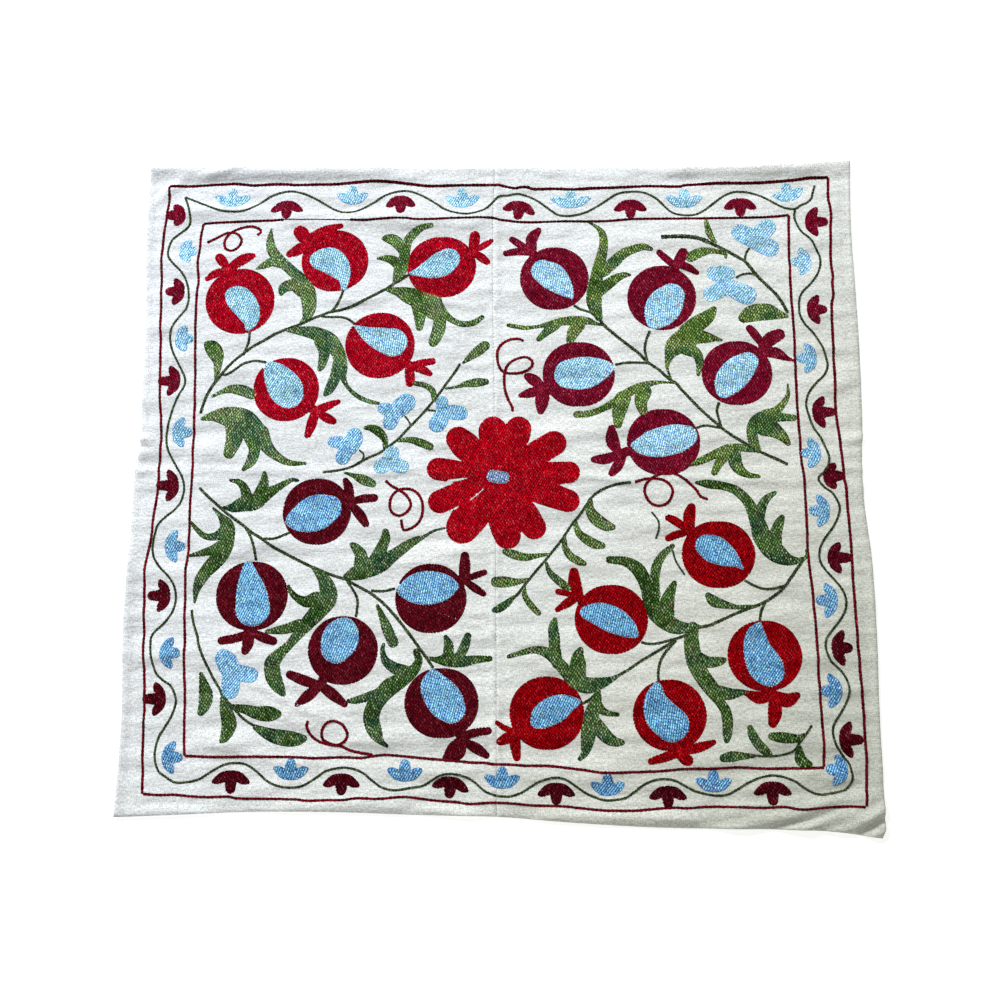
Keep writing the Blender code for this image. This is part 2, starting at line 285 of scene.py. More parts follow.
# The green vine between the frame lines, its width, and the length of one link of it and of the stems
VINE_WIDTH = 3.0
STEM_LINK = 4.2
VINE = {
    "top": [
        (-428, 390), (-400, 378), (-380, 370), (-362, 367.5), (-345, 369), (-330, 376), (-310, 389),
        (-287, 396), (-270, 394), (-250, 386), (-220, 369), (-205, 365.5), (-190, 368), (-170, 379),
        (-150, 391), (-128, 396), (-110, 392), (-90, 381), (-70, 368), (-47, 362), (-30, 364),
        (-15, 371), (0, 386), (12, 388), (25, 390), (38, 387), (51, 381), (61, 373.5), (71, 366),
        (80, 360), (92, 358), (106, 359.5), (120, 364), (132, 371), (145, 380), (154, 386), (163, 390),
        (177, 391.5), (191, 391), (203, 387), (214, 380), (223, 371), (231, 363.5), (240, 359.5),
        (253, 358), (263, 359), (274, 364), (286, 373), (300, 384), (312, 390), (325, 391), (338, 389),
        (349, 385), (361, 378), (371, 372), (381, 367), (392, 365), (397, 366), (403, 370),
        (411, 373.5), (417, 380), (419, 387), (422.5, 399),
    ],
    "right": [
        (395, 364), (394, 355), (397, 345), (403, 333), (414, 323), (421, 310), (426, 298), (425, 284),
        (420, 272), (411, 260), (401, 250), (397, 240), (396, 227), (397, 218), (403, 206), (414, 194),
        (423, 178), (429, 161), (430, 149), (425, 137), (414, 126), (405, 114), (401, 100), (403, 85),
        (409, 68), (418, 54), (425, 37), (427, 25), (423, 12), (413, 1), (420, -10), (430, -18),
        (438, -33), (437, -46), (429, -62), (418, -77), (411.5, -91), (411.5, -105), (418, -117),
        (429, -130), (438, -143), (441.5, -157), (438.5, -171), (428, -186), (417, -200), (414, -213),
        (419, -229), (428, -238), (437, -249), (441, -264), (438.5, -278), (431, -292), (422, -306),
        (419, -318), (422, -332), (429, -344), (437, -355), (440.5, -369), (438.5, -378), (431, -386),
        (417, -390),
    ],
    "bottom": [
        (417, -390), (403, -392), (392, -390), (381, -384), (371, -377), (358, -372), (343, -370),
        (328, -373), (314, -379), (301, -387), (289, -393.5), (277, -395), (263, -393.5), (249, -390),
        (240, -385.5), (225, -378), (212, -376), (198, -378), (186, -383.5), (175, -392), (165, -399),
        (154, -401.5), (140, -402.5), (128, -399.5), (115, -394), (103, -386), (92, -379), (81, -376),
        (71, -377), (58, -381), (48, -387), (37, -394), (23, -399), (9, -399), (0, -397), (-10, -393),
        (-22, -383), (-35, -376), (-51, -373), (-65, -375), (-78, -383), (-87, -388), (-104, -391),
        (-121, -393.5), (-136, -391), (-148, -383.5), (-161, -373.5), (-173, -368.5), (-188, -367),
        (-207, -371), (-219, -379), (-235, -389), (-250, -392), (-268, -390), (-282, -384), (-295, -373),
        (-308, -365), (-322, -363), (-336, -365), (-351, -373), (-367, -383), (-382, -387),
        (-398, -387.5), (-410, -381), (-419, -375),
    ],
    "left": [
        (-428, 390), (-421, 372), (-419, 357), (-422, 347), (-435, 336), (-443, 328), (-447, 315),
        (-446, 305), (-440, 296), (-425, 280), (-417, 262), (-414.5, 245), (-417, 232), (-422, 225),
        (-433, 209), (-437.5, 194), (-435, 178), (-428, 163), (-421, 149), (-415, 137), (-413.5, 126),
        (-419, 114), (-426, 98), (-431, 80), (-434, 61), (-434, 49), (-430, 35), (-422, 20), (-411, 3),
        (-407, -13), (-410, -30), (-418, -42), (-428, -51), (-438, -62), (-442, -76), (-444, -91),
        (-441.5, -105), (-433, -117), (-419, -131), (-411.5, -145), (-410, -159), (-413, -174),
        (-422, -188), (-433, -198), (-438.5, -206), (-439, -215), (-436, -235), (-430, -252),
        (-421, -261), (-410, -268), (-403, -281), (-402.5, -292), (-407, -307), (-415, -321),
        (-422, -333), (-425, -347), (-424, -363), (-419, -375),
    ],
}

# Lotus heads of the border: middle, the way the foot points in degrees, half the span of the wings, and
# how far out the foot's end lies
LotusHead = namedtuple("LotusHead", "x y foot_way half_span foot", defaults=[8.5])
RED_LOTUSES = {
    "top": [(-287, 371, -90, 21), (-132, 377, -90, 19), (28, 368, -100, 21), (177, 369, -90, 21),
            (323, 370, -90, 20.5)],
    "bottom": [(-327, -384, -90, 23, 10.5), (-188, -386, -90, 22), (-52, -388, -98, 22),
               (79, -394, -90, 22), (216, -396, -90, 22), (343, -389, -90, 22, 10.5)],
    "left": [(-437.5, 364, 184, 14), (-432.5, 255, 180, 18), (-432, 131, 180, 20, 12),
             (-426, -10, 180, 20, 12), (-429, -154, 180, 20, 12), (-427, -285, 180, 20, 12)],
    "right": [(420, 347, 0, 19, 12), (418, 226, 0, 19), (420, 88, 0, 20, 12), (431, 4, 0, 16),
              (433, -101, 0, 19, 12), (433, -214, 0, 21), (438, -326, 0, 21, 12)],
}
BLUE_LOTUSES = {
    "top": [(-362, 387, 90, 23), (-198, 389, 90, 20), (-49, 384, 90, 22), (97, 381, 90, 26),
            (249, 381, 90, 23), (387, 388, 105, 20)],
    "bottom": [(-252, -371, 90, 21), (-109, -371, 90, 21), (12, -378, 90, 21), (142, -385, 90, 20),
               (272, -379, 90, 21)],
    "left": [(-420, 312, 0, 15.5, 6.5), (-418.5, 189, 0, 17, 7), (-415, 61, 0, 19), (-416, -90, 0, 20),
             (-414, -227, 0, 19), (-404, -357, 0, 19)],
    "right": [(402, 292, 180, 18), (405, 160, 180, 19), (405, 34, 180, 19), (414, -41, 180, 20),
              (419, -155, 180, 21), (420, -267, 180, 20), (423, -363, 172, 18)],
}

# A lotus head: how far in from its span the tips lie, with how far out and how wide they are; then the rest
# of a wing, as share of the half span, how far out and how wide; then the foot
LOTUS_INSET, LOTUS_TIP = 1.5, (2, 5)
LOTUS_WING = [(0.72, 0, 10), (0.4, -4, 13), (0.0, -5, 14)]
LOTUS_FOOT, LOTUS_FOOT_END = [(-2, 16), (5, 14)], 12

# Pomegranates: middle, half width and half height, the heart's stroke and the crown's petals.
# A stroke is a run of points (x, y, full width)
Fruit = namedtuple("Fruit", "x y half_width half_height heart petals")
FRUITS = {
    "upper_left": [
        Fruit(-345, 241, 46.5, 45.5,
              [(-356, 250, 20), (-346, 244, 34), (-335, 230, 32), (-329, 215, 20), (-332, 204, 8)],
              [[(-370, 284, 8), (-380, 280, 10), (-391, 273, 6)],
               [(-365, 288, 6), (-371.5, 297, 12), (-375.5, 302, 11)],
               [(-366, 284, 8), (-352, 294, 12), (-340, 301, 12), (-330, 304, 6)]]),
        Fruit(-219, 297, 45, 43,
              [(-240, 299, 26), (-226, 298, 36), (-214, 288, 30), (-206, 274, 16), (-205, 258, 7)],
              [[(-258, 322, 9), (-264, 334, 18), (-268, 338, 16)],
               [(-260, 320, 12), (-270, 313, 14), (-281, 307, 8)],
               [(-257, 326, 12), (-240, 337, 12), (-225, 343, 9), (-212, 346, 5)]]),
        Fruit(-75, 287.5, 46, 42.5,
              [(-117, 278, 3), (-103, 281, 14), (-90, 285, 26), (-76, 291, 34), (-66, 298, 30)],
              [[(-34, 306, 8), (-32, 322, 13), (-31, 331, 12)],
               [(-30, 310, 6), (-18, 318, 8), (-9, 324, 5)],
               [(-30, 306, 8), (-22, 300, 10), (-14, 294, 7)]]),
        Fruit(-155, 179, 46, 45.5,
              [(-188, 205, 3), (-172, 195, 18), (-155, 188, 30), (-138, 183, 38)],
              [[(-112, 152, 8), (-98, 155, 9), (-85, 157, 8)],
               [(-108, 149, 10), (-97, 145, 10), (-88, 140, 6)],
               [(-116, 148, 9), (-114, 136, 12), (-114, 127, 9)]]),
        Fruit(-278, 119, 44, 43,
              [(-302, 152, 10), (-293, 140, 30), (-280, 122, 44), (-274, 113, 38)],
              [[(-236, 90, 10), (-222, 96, 10), (-208, 102, 5)],
               [(-232, 86, 8), (-222, 80, 11), (-214, 76, 8)],
               [(-238, 88, 10), (-242, 72, 12), (-247, 57, 7)]]),
    ],
    "upper_right": [
        Fruit(75.5, 270.5, 45.5, 43.5,
              [(60, 281, 30), (74, 272, 36), (86, 260, 25), (95, 250, 12), (99, 244, 3)],
              [[(44, 308, 9), (28, 309, 10), (11, 306, 7)], [(38, 313, 8), (28, 320, 9), (19, 326, 7)],
               [(46, 312, 10), (45, 326, 14), (54, 338, 7)]]),
        Fruit(217, 243, 45, 44, [(230, 245, 34), (219, 230, 46), (209, 214, 26), (204, 204, 6)],
              [[(235, 286, 8), (225, 296, 9), (215, 306, 7)],
               [(237, 288, 10), (242, 297, 13), (246, 305, 12)],
               [(240, 289, 10), (252, 285, 9), (264, 278, 5)]]),
        Fruit(107.5, 139, 47, 43.5, [(95, 139, 38), (115, 141, 42), (135, 145, 28), (149, 147, 10)],
              [[(58, 124, 10), (49, 131, 14), (41, 136, 9)], [(58, 119, 8), (45, 114, 12), (32, 110.5, 5)],
               [(63, 121, 10), (60, 105, 17), (58, 90, 8)]]),
        Fruit(313, 140, 45.5, 43, [(296, 117, 20), (303, 130, 36), (315, 143, 38), (328, 155, 26)],
              [[(346, 180, 8), (337, 192, 10), (331, 200, 9)],
               [(348, 176, 12), (358, 186, 17), (369, 192, 14)],
               [(350, 168, 10), (364, 167, 13), (378, 160, 6), (386, 157, 2)]]),
        Fruit(216.5, 48, 47, 43.5,
              [(180, 44, 10), (190, 44, 22), (207, 47, 36), (230, 52, 38), (246, 56, 28)],
              [[(158, 36, 8), (151, 50, 16), (150, 66, 8)], [(158, 32, 8), (142, 26, 13), (127, 25, 7)],
               [(165, 32, 8), (158, 18, 12), (150, 7, 8)]]),
    ],
    "lower_left": [
        Fruit(-231, -44, 44.5, 43.5,
              [(-268, -57, 8), (-252, -53, 32), (-233, -46, 46), (-216, -40, 34)],
              [[(-189, -24, 11), (-191, -12, 11), (-195, -3, 6)],
               [(-184, -30, 7), (-170, -27, 10), (-157, -26, 9)],
               [(-185, -36, 8), (-175, -48, 12), (-167, -60, 8)]]),
        Fruit(-311, -153.5, 46.5, 44,
              [(-318, -115, 12), (-316, -130, 24), (-312, -150, 38), (-309, -170, 44)],
              [[(-312, -202, 9), (-330, -208, 10), (-347, -211, 9)],
               [(-313, -200, 12), (-313, -214, 13), (-316, -224, 8)],
               [(-305, -202, 9), (-293, -207, 11), (-281, -211, 9)]]),
        Fruit(-81, -155.5, 45.5, 44,
              [(-116, -145, 16), (-100, -143, 36), (-85, -142, 42), (-68, -141, 34), (-53, -140, 14)],
              [[(-39, -128, 12), (-38, -114, 13), (-38, -101, 9)],
               [(-34, -129, 7), (-24, -126, 7), (-13, -122, 6)],
               [(-36, -134, 7), (-25, -142, 9), (-14, -149, 6)]]),
        Fruit(-191.5, -222, 44.5, 43, [(-190, -195, 28), (-195, -207, 46), (-200, -219, 38)],
              [[(-222, -266, 10), (-240, -260, 12), (-258, -253, 9)],
               [(-222, -270, 8), (-234, -279, 13), (-247, -290, 5)],
               [(-218, -266, 10), (-203, -277, 13), (-187, -289, 7)]]),
        Fruit(-65, -286.5, 46.5, 43,
              [(-76, -252, 14), (-74, -266, 34), (-62, -282, 44), (-52, -294, 34)],
              [[(-34, -326, 10), (-20, -322, 9), (-6, -320, 8)],
               [(-34, -334, 8), (-20, -342, 12), (-8, -350, 7)],
               [(-42, -335, 12), (-46, -345, 22), (-58, -354, 8)]]),
    ],
    "lower_right": [
        Fruit(284, -97.5, 46, 42.5,
              [(268, -86, 26), (279, -91, 34), (293, -99, 26), (305, -107, 12), (314, -115, 2)],
              [[(248, -62, 12), (248, -48, 14), (251, -37, 9)],
               [(240, -62, 9), (230, -55, 10), (222, -51, 8)],
               [(240, -70, 8), (230, -73, 9), (221, -77, 7)]]),
        Fruit(148, -180.5, 46, 43.5,
              [(117, -172, 16), (133, -174, 28), (150, -181, 32), (166, -190, 24), (178, -199, 8)],
              [[(107, -149, 10), (102, -135, 15), (101, -121, 10)],
               [(101, -151, 6), (91, -148, 6), (81, -146, 6)],
               [(104, -153, 8), (93, -160, 10), (80, -169, 5)]]),
        Fruit(67, -297.5, 46.5, 45,
              [(55, -308, 16), (64, -300, 30), (79, -292, 32), (93, -286, 20), (105, -284, 8)],
              [[(24, -320, 6), (14, -316, 6), (5, -310, 4)], [(24, -324, 8), (17, -329, 12), (9, -333, 8)],
               [(27, -322, 12), (28, -338, 12), (30, -352, 8)]]),
        Fruit(338.5, -224.5, 46, 43.5,
              [(332, -186, 6), (328, -200, 24), (330, -218, 34), (338, -236, 42), (344, -244, 36)],
              [[(343, -273, 12), (330, -276, 14), (315, -271, 6)],
               [(350, -274, 12), (364, -279, 16), (377, -273, 7)],
               [(349, -278, 12), (349, -294, 16), (346, -307, 10)]]),
        Fruit(219.5, -298.5, 45.5, 43.5,
              [(204, -265, 12), (202, -280, 26), (209, -298, 40), (222, -310, 42)],
              [[(228, -344, 10), (212, -350, 10), (196, -355, 7)],
               [(232, -346, 12), (238, -352, 13), (241, -353, 12)],
               [(240, -341, 10), (256, -337, 11), (273, -331, 5)]]),
    ],
}

# Centre flower: the round tip of each petal (x, y, radius) and the petal's full width at its belly
FlowerTip = namedtuple("FlowerTip", "x y radius belly")
FLOWER_MIDDLE = (2.7, 2.0)
FLOWER_TIPS = [
    FlowerTip(-4.5, 67.3, 15.2, 38), FlowerTip(29.3, 65.8, 16.5, 37), FlowerTip(75.4, 46.5, 16.0, 33),
    FlowerTip(94.8, 8.2, 14.1, 31), FlowerTip(93.4, -29.1, 14.9, 33), FlowerTip(50.0, -63.5, 15.5, 35),
    FlowerTip(16.0, -74.5, 17.0, 42), FlowerTip(-42.0, -64.0, 21.0, 47), FlowerTip(-71.5, -30.6, 15.2, 31),
    FlowerTip(-74.3, 12.4, 14.9, 30), FlowerTip(-49.0, 52.5, 16.0, 37),
]
# A petal up to its belly: how far out and how wide its neck is, then how far out its shoulder and its belly
# are, and how much narrower the shoulder is than the belly
PETAL_NECK = [(14.0, 12.0), (29.7, 22.0)]
PETAL_SHOULDER, SHOULDER_LESS = 44.6, 4
PETAL_BELLY = 59.4
# The round that fills the flower's middle: how far it runs to the left and right, and its width
ROUND_LEFT, ROUND_RIGHT, ROUND_WIDTH = -2, 3, 66

# The blue patch in the middle of the flower, and the slits where its rows of stitches part
FLOWER_HEART = [(-4, 3, 15), (3, 2, 15), (10, 1, 15)]
FLOWER_SLITS = [[(-62, -4, 3.0), (-48, -1.5, 1.8), (-36, 0.5, 0.6)],
                [(-52, -40, 2.0), (-48, -37.5, 0.6)],
                [(-32, -28, 0.4), (-24, -21.5, 0.4), (-16, -14, 0.4)]]

# Stretches of the seam, low and high, that embroidery covers, and how far past them the cloth lies smooth
SEAM_COVERED = [(-394, -366), (-176, -163), (-142, -126), (-93, 84)]
COVER_MARGIN = 3.0

# Blue flowers of three lobes: strokes for the lobes and the middle
BLUE_FLOWERS = [
    [[(342, 322, 24), (330, 329, 25), (322, 333, 23)], [(342, 322, 24), (352, 334, 24), (358, 340, 23)],
     [(342, 322, 24), (353, 315, 24), (361, 311, 23)]],
    [[(304, 260, 20), (297, 270, 22), (286, 277, 18)], [(304, 260, 18), (294, 253, 21), (281, 247, 19)],
     [(304, 260, 18), (316, 252, 25), (328, 246, 26)], [(297, 276, 22), (306, 276, 16)]],
    [[(-132, 88, 20), (-124, 96, 24), (-118, 101, 24)], [(-133, 88, 18), (-142, 91, 18), (-148, 93, 15)],
     [(-133, 88, 18), (-137, 79, 19), (-139, 74, 19)]],
    [[(-70, 88, 14), (-71, 97, 16), (-71, 102, 15)], [(-70, 88, 16), (-57, 88, 19), (-47, 87, 19)],
     [(-70, 88, 16), (-74, 77, 22), (-77, 72, 22)]],
    [[(-190, 42, 22), (-204, 47, 17), (-213, 48, 14)], [(-190, 42, 22), (-186, 51, 24), (-185, 57, 20)],
     [(-192, 44, 16), (-197, 33, 19), (-200, 27, 18)]],
    [[(-137, 22, 16), (-136, 30, 19), (-135, 34, 18)], [(-137, 22, 16), (-146, 17, 20), (-150, 15, 18)],
     [(-137, 22, 16), (-128, 17, 19), (-121, 15, 17)]],
    [[(-333, -252, 22), (-338, -240, 27), (-343, -233, 22)],
     [(-333, -252, 20), (-320, -252, 21), (-308, -254, 19)],
     [(-333, -252, 22), (-333, -265, 24), (-333, -273, 22)]],
]

# Stems: each is a run of points (x, y) with one width
STEMS = {
    "upper_left": [
        (4.0, [(-390, 86), (-388, 97), (-384, 109), (-376, 125), (-367, 137), (-355, 152), (-341, 166),
               (-327, 177), (-311, 186), (-296, 195), (-279, 202), (-265, 207), (-250, 214), (-236, 220),
               (-224, 225), (-207, 229), (-188, 236), (-170, 246), (-148, 258), (-131, 269), (-117, 277)]),
        (3.5, [(-330, 198), (-331, 185), (-335, 174), (-338, 166)]),
        (3.5, [(-306, 156), (-321, 158), (-336, 154), (-348, 145), (-359, 139), (-366, 140)]),
        (3.5, [(-189, 208), (-198, 215), (-208, 218), (-221, 218), (-235, 219)]),
        (3.5, [(-206, 256), (-209, 246), (-214, 236), (-222, 225)]),
    ],
    "upper_right": [
        (6.0, [(217, 327), (240, 328), (263, 326), (280, 320)]),
        (4.5, [(272, 323), (288, 316), (300, 310), (317, 300), (328, 292), (340, 276), (351, 264),
               (365, 249), (374, 236), (381, 221)]),
        (4.0, [(134, 215), (141, 205), (155, 192), (169, 180), (185, 168), (198, 155), (212, 145),
               (226, 132),
               (235, 126), (240, 119), (257, 100), (272, 85), (286, 72), (300, 60), (314, 51), (332, 40),
               (348, 32), (363, 25), (375, 19)]),
        (3.5, [(101, 233), (111, 227), (123, 223), (131, 216)]),
        (3.5, [(201, 198), (196, 185), (194, 172), (197, 157)]),
        (3.5, [(155, 151), (169, 154), (185, 154.5), (198, 154)]),
        (3.5, [(289, 101), (286, 91), (288, 80), (291, 69)]),
        (3.5, [(259, 67), (271, 70), (283, 68), (291, 67)]),
        (3.0, [(327, 293), (329, 304), (334, 312)]),
        (3.0, [(343, 273), (332, 276), (321, 274), (315, 270)]),
    ],
    "left_spray": [
        (3.5, [(-225, 8), (-207, 10), (-188, 15), (-170, 25), (-151, 33), (-139, 43), (-128, 52),
               (-115, 66),
               (-102, 80), (-90, 94), (-78, 109), (-67, 125), (-58, 138), (-50, 151), (-48, 154)]),
        (2.5, [(-120, 83), (-115, 77), (-111, 69)]), (2.5, [(-90, 91), (-79, 90)]),
        (2.5, [(-178, 37), (-172, 31), (-174, 23)]),
    ],
    "right_spray": [
        (3.5, [(174, -5), (154, -8), (138, -14), (126, -22), (118, -33), (108, -48), (98, -60), (86, -79),
               (75, -93), (63, -108), (51, -122), (40, -136), (29, -150), (17, -160)]),
        (2.5, [(200, -43), (208, -54), (209, -65), (205, -78)]),
    ],
    "lower_left": [
        (4.0, [(-387, -13), (-373, -26), (-359, -38), (-347, -48), (-330, -60), (-316, -71), (-301, -80),
               (-287, -90), (-268, -100), (-250, -109), (-233, -117), (-218, -123), (-201, -129),
               (-190, -132),
               (-176, -140), (-159, -149), (-142, -162), (-127, -177), (-111, -196), (-96, -216),
               (-87, -228), (-76, -243)]),
        (3.5, [(-323, -66), (-316, -77), (-311, -90), (-308, -108)]),
        (3.5, [(-301, -80), (-287, -80), (-275, -76), (-265, -71)]),
        (3.5, [(-158, -146), (-142, -146.5), (-127, -143)]),
        (3.5, [(-189, -134), (-181, -145), (-175, -157), (-175, -170), (-176, -180)]),
        (3.5, [(-388, -172), (-385, -188), (-379, -206), (-377, -215), (-368, -236), (-358, -255),
               (-347, -272), (-341, -283), (-331, -292), (-324, -300), (-313, -310), (-299, -318)]),
    ],
    "lower_right": [
        (4.0, [(390, -104), (381, -117), (372, -129.5), (364, -140), (351, -151), (335, -160),
               (323, -164.5), (309, -170), (289, -179), (271, -187), (256, -190)]),
        (3.5, [(316, -130), (328, -137), (341, -141), (354, -140), (366, -137)]),
        (3.5, [(342, -156), (336, -168), (333, -181)]),
        (3.5, [(185, -209), (198, -211), (215, -208), (240, -200), (250, -192)]),
        (3.5, [(229, -205), (215, -214), (200, -223), (185, -232), (169, -243), (155, -251)]),
        (3.5, [(206, -257), (206, -246), (209, -232), (217, -219), (229, -206)]),
        (3.5, [(111, -286), (121, -280), (128, -273)]), (2.5, [(226, -92), (231, -108), (241, -124)]),
        (3.0, [(394, -309), (386, -320), (378, -330), (371, -340), (358, -345), (345, -347), (332, -347),
               (317, -346)]),
    ],
}

# Red curls, their width, and the length of one link
CURL_WIDTH = 3.8
CURL_LINK = 4.0
CURLS = [
    [(-394, 324), (-380, 331), (-365, 338), (-353, 336), (-347, 327), (-350, 318), (-359, 312), (-368, 315),
     (-370, 325), (-365, 335), (-354, 343), (-338, 347), (-327, 345), (-321, 340), (-326, 334)],
    [(35, 183), (31, 186), (21, 186.5), (9, 182), (1.5, 172), (1, 158), (5, 146), (12, 141), (23, 140),
     (35, 142), (45, 148), (47, 155), (41, 161), (31, 161), (18, 155), (12, 146), (10, 134), (11, 120),
     (15, 106), (21, 95), (21, 89)],
    [(-143, -3), (-135, -10), (-124, -16), (-115, -23), (-109, -34), (-113, -43), (-122, -49), (-131, -47),
     (-136, -39), (-135, -26), (-128, -17), (-119, -14), (-108, -15), (-99, -22), (-94, -33), (-94, -46),
     (-98, -57), (-107, -65), (-117, -68), (-120, -62), (-121, -54)],
    [(179, -5), (192, -1), (206, 0), (218, -3), (226, -11), (227, -20), (221, -31), (211, -35), (200, -32),
     (193, -22), (192, -11), (198, -2), (211, 6), (221, 8), (231, 6), (240, 1), (249, -6), (257, -14),
     (263, -23), (272, -27)],
    [(-232, -310), (-234, -316), (-230, -326), (-221, -334), (-210, -338), (-196, -340), (-187, -336),
     (-182, -329), (-184, -321), (-191, -313), (-202, -310), (-211, -315), (-215, -324), (-213, -333),
     (-204, -338), (-190, -341), (-178, -346), (-164, -349), (-150, -351)],
]

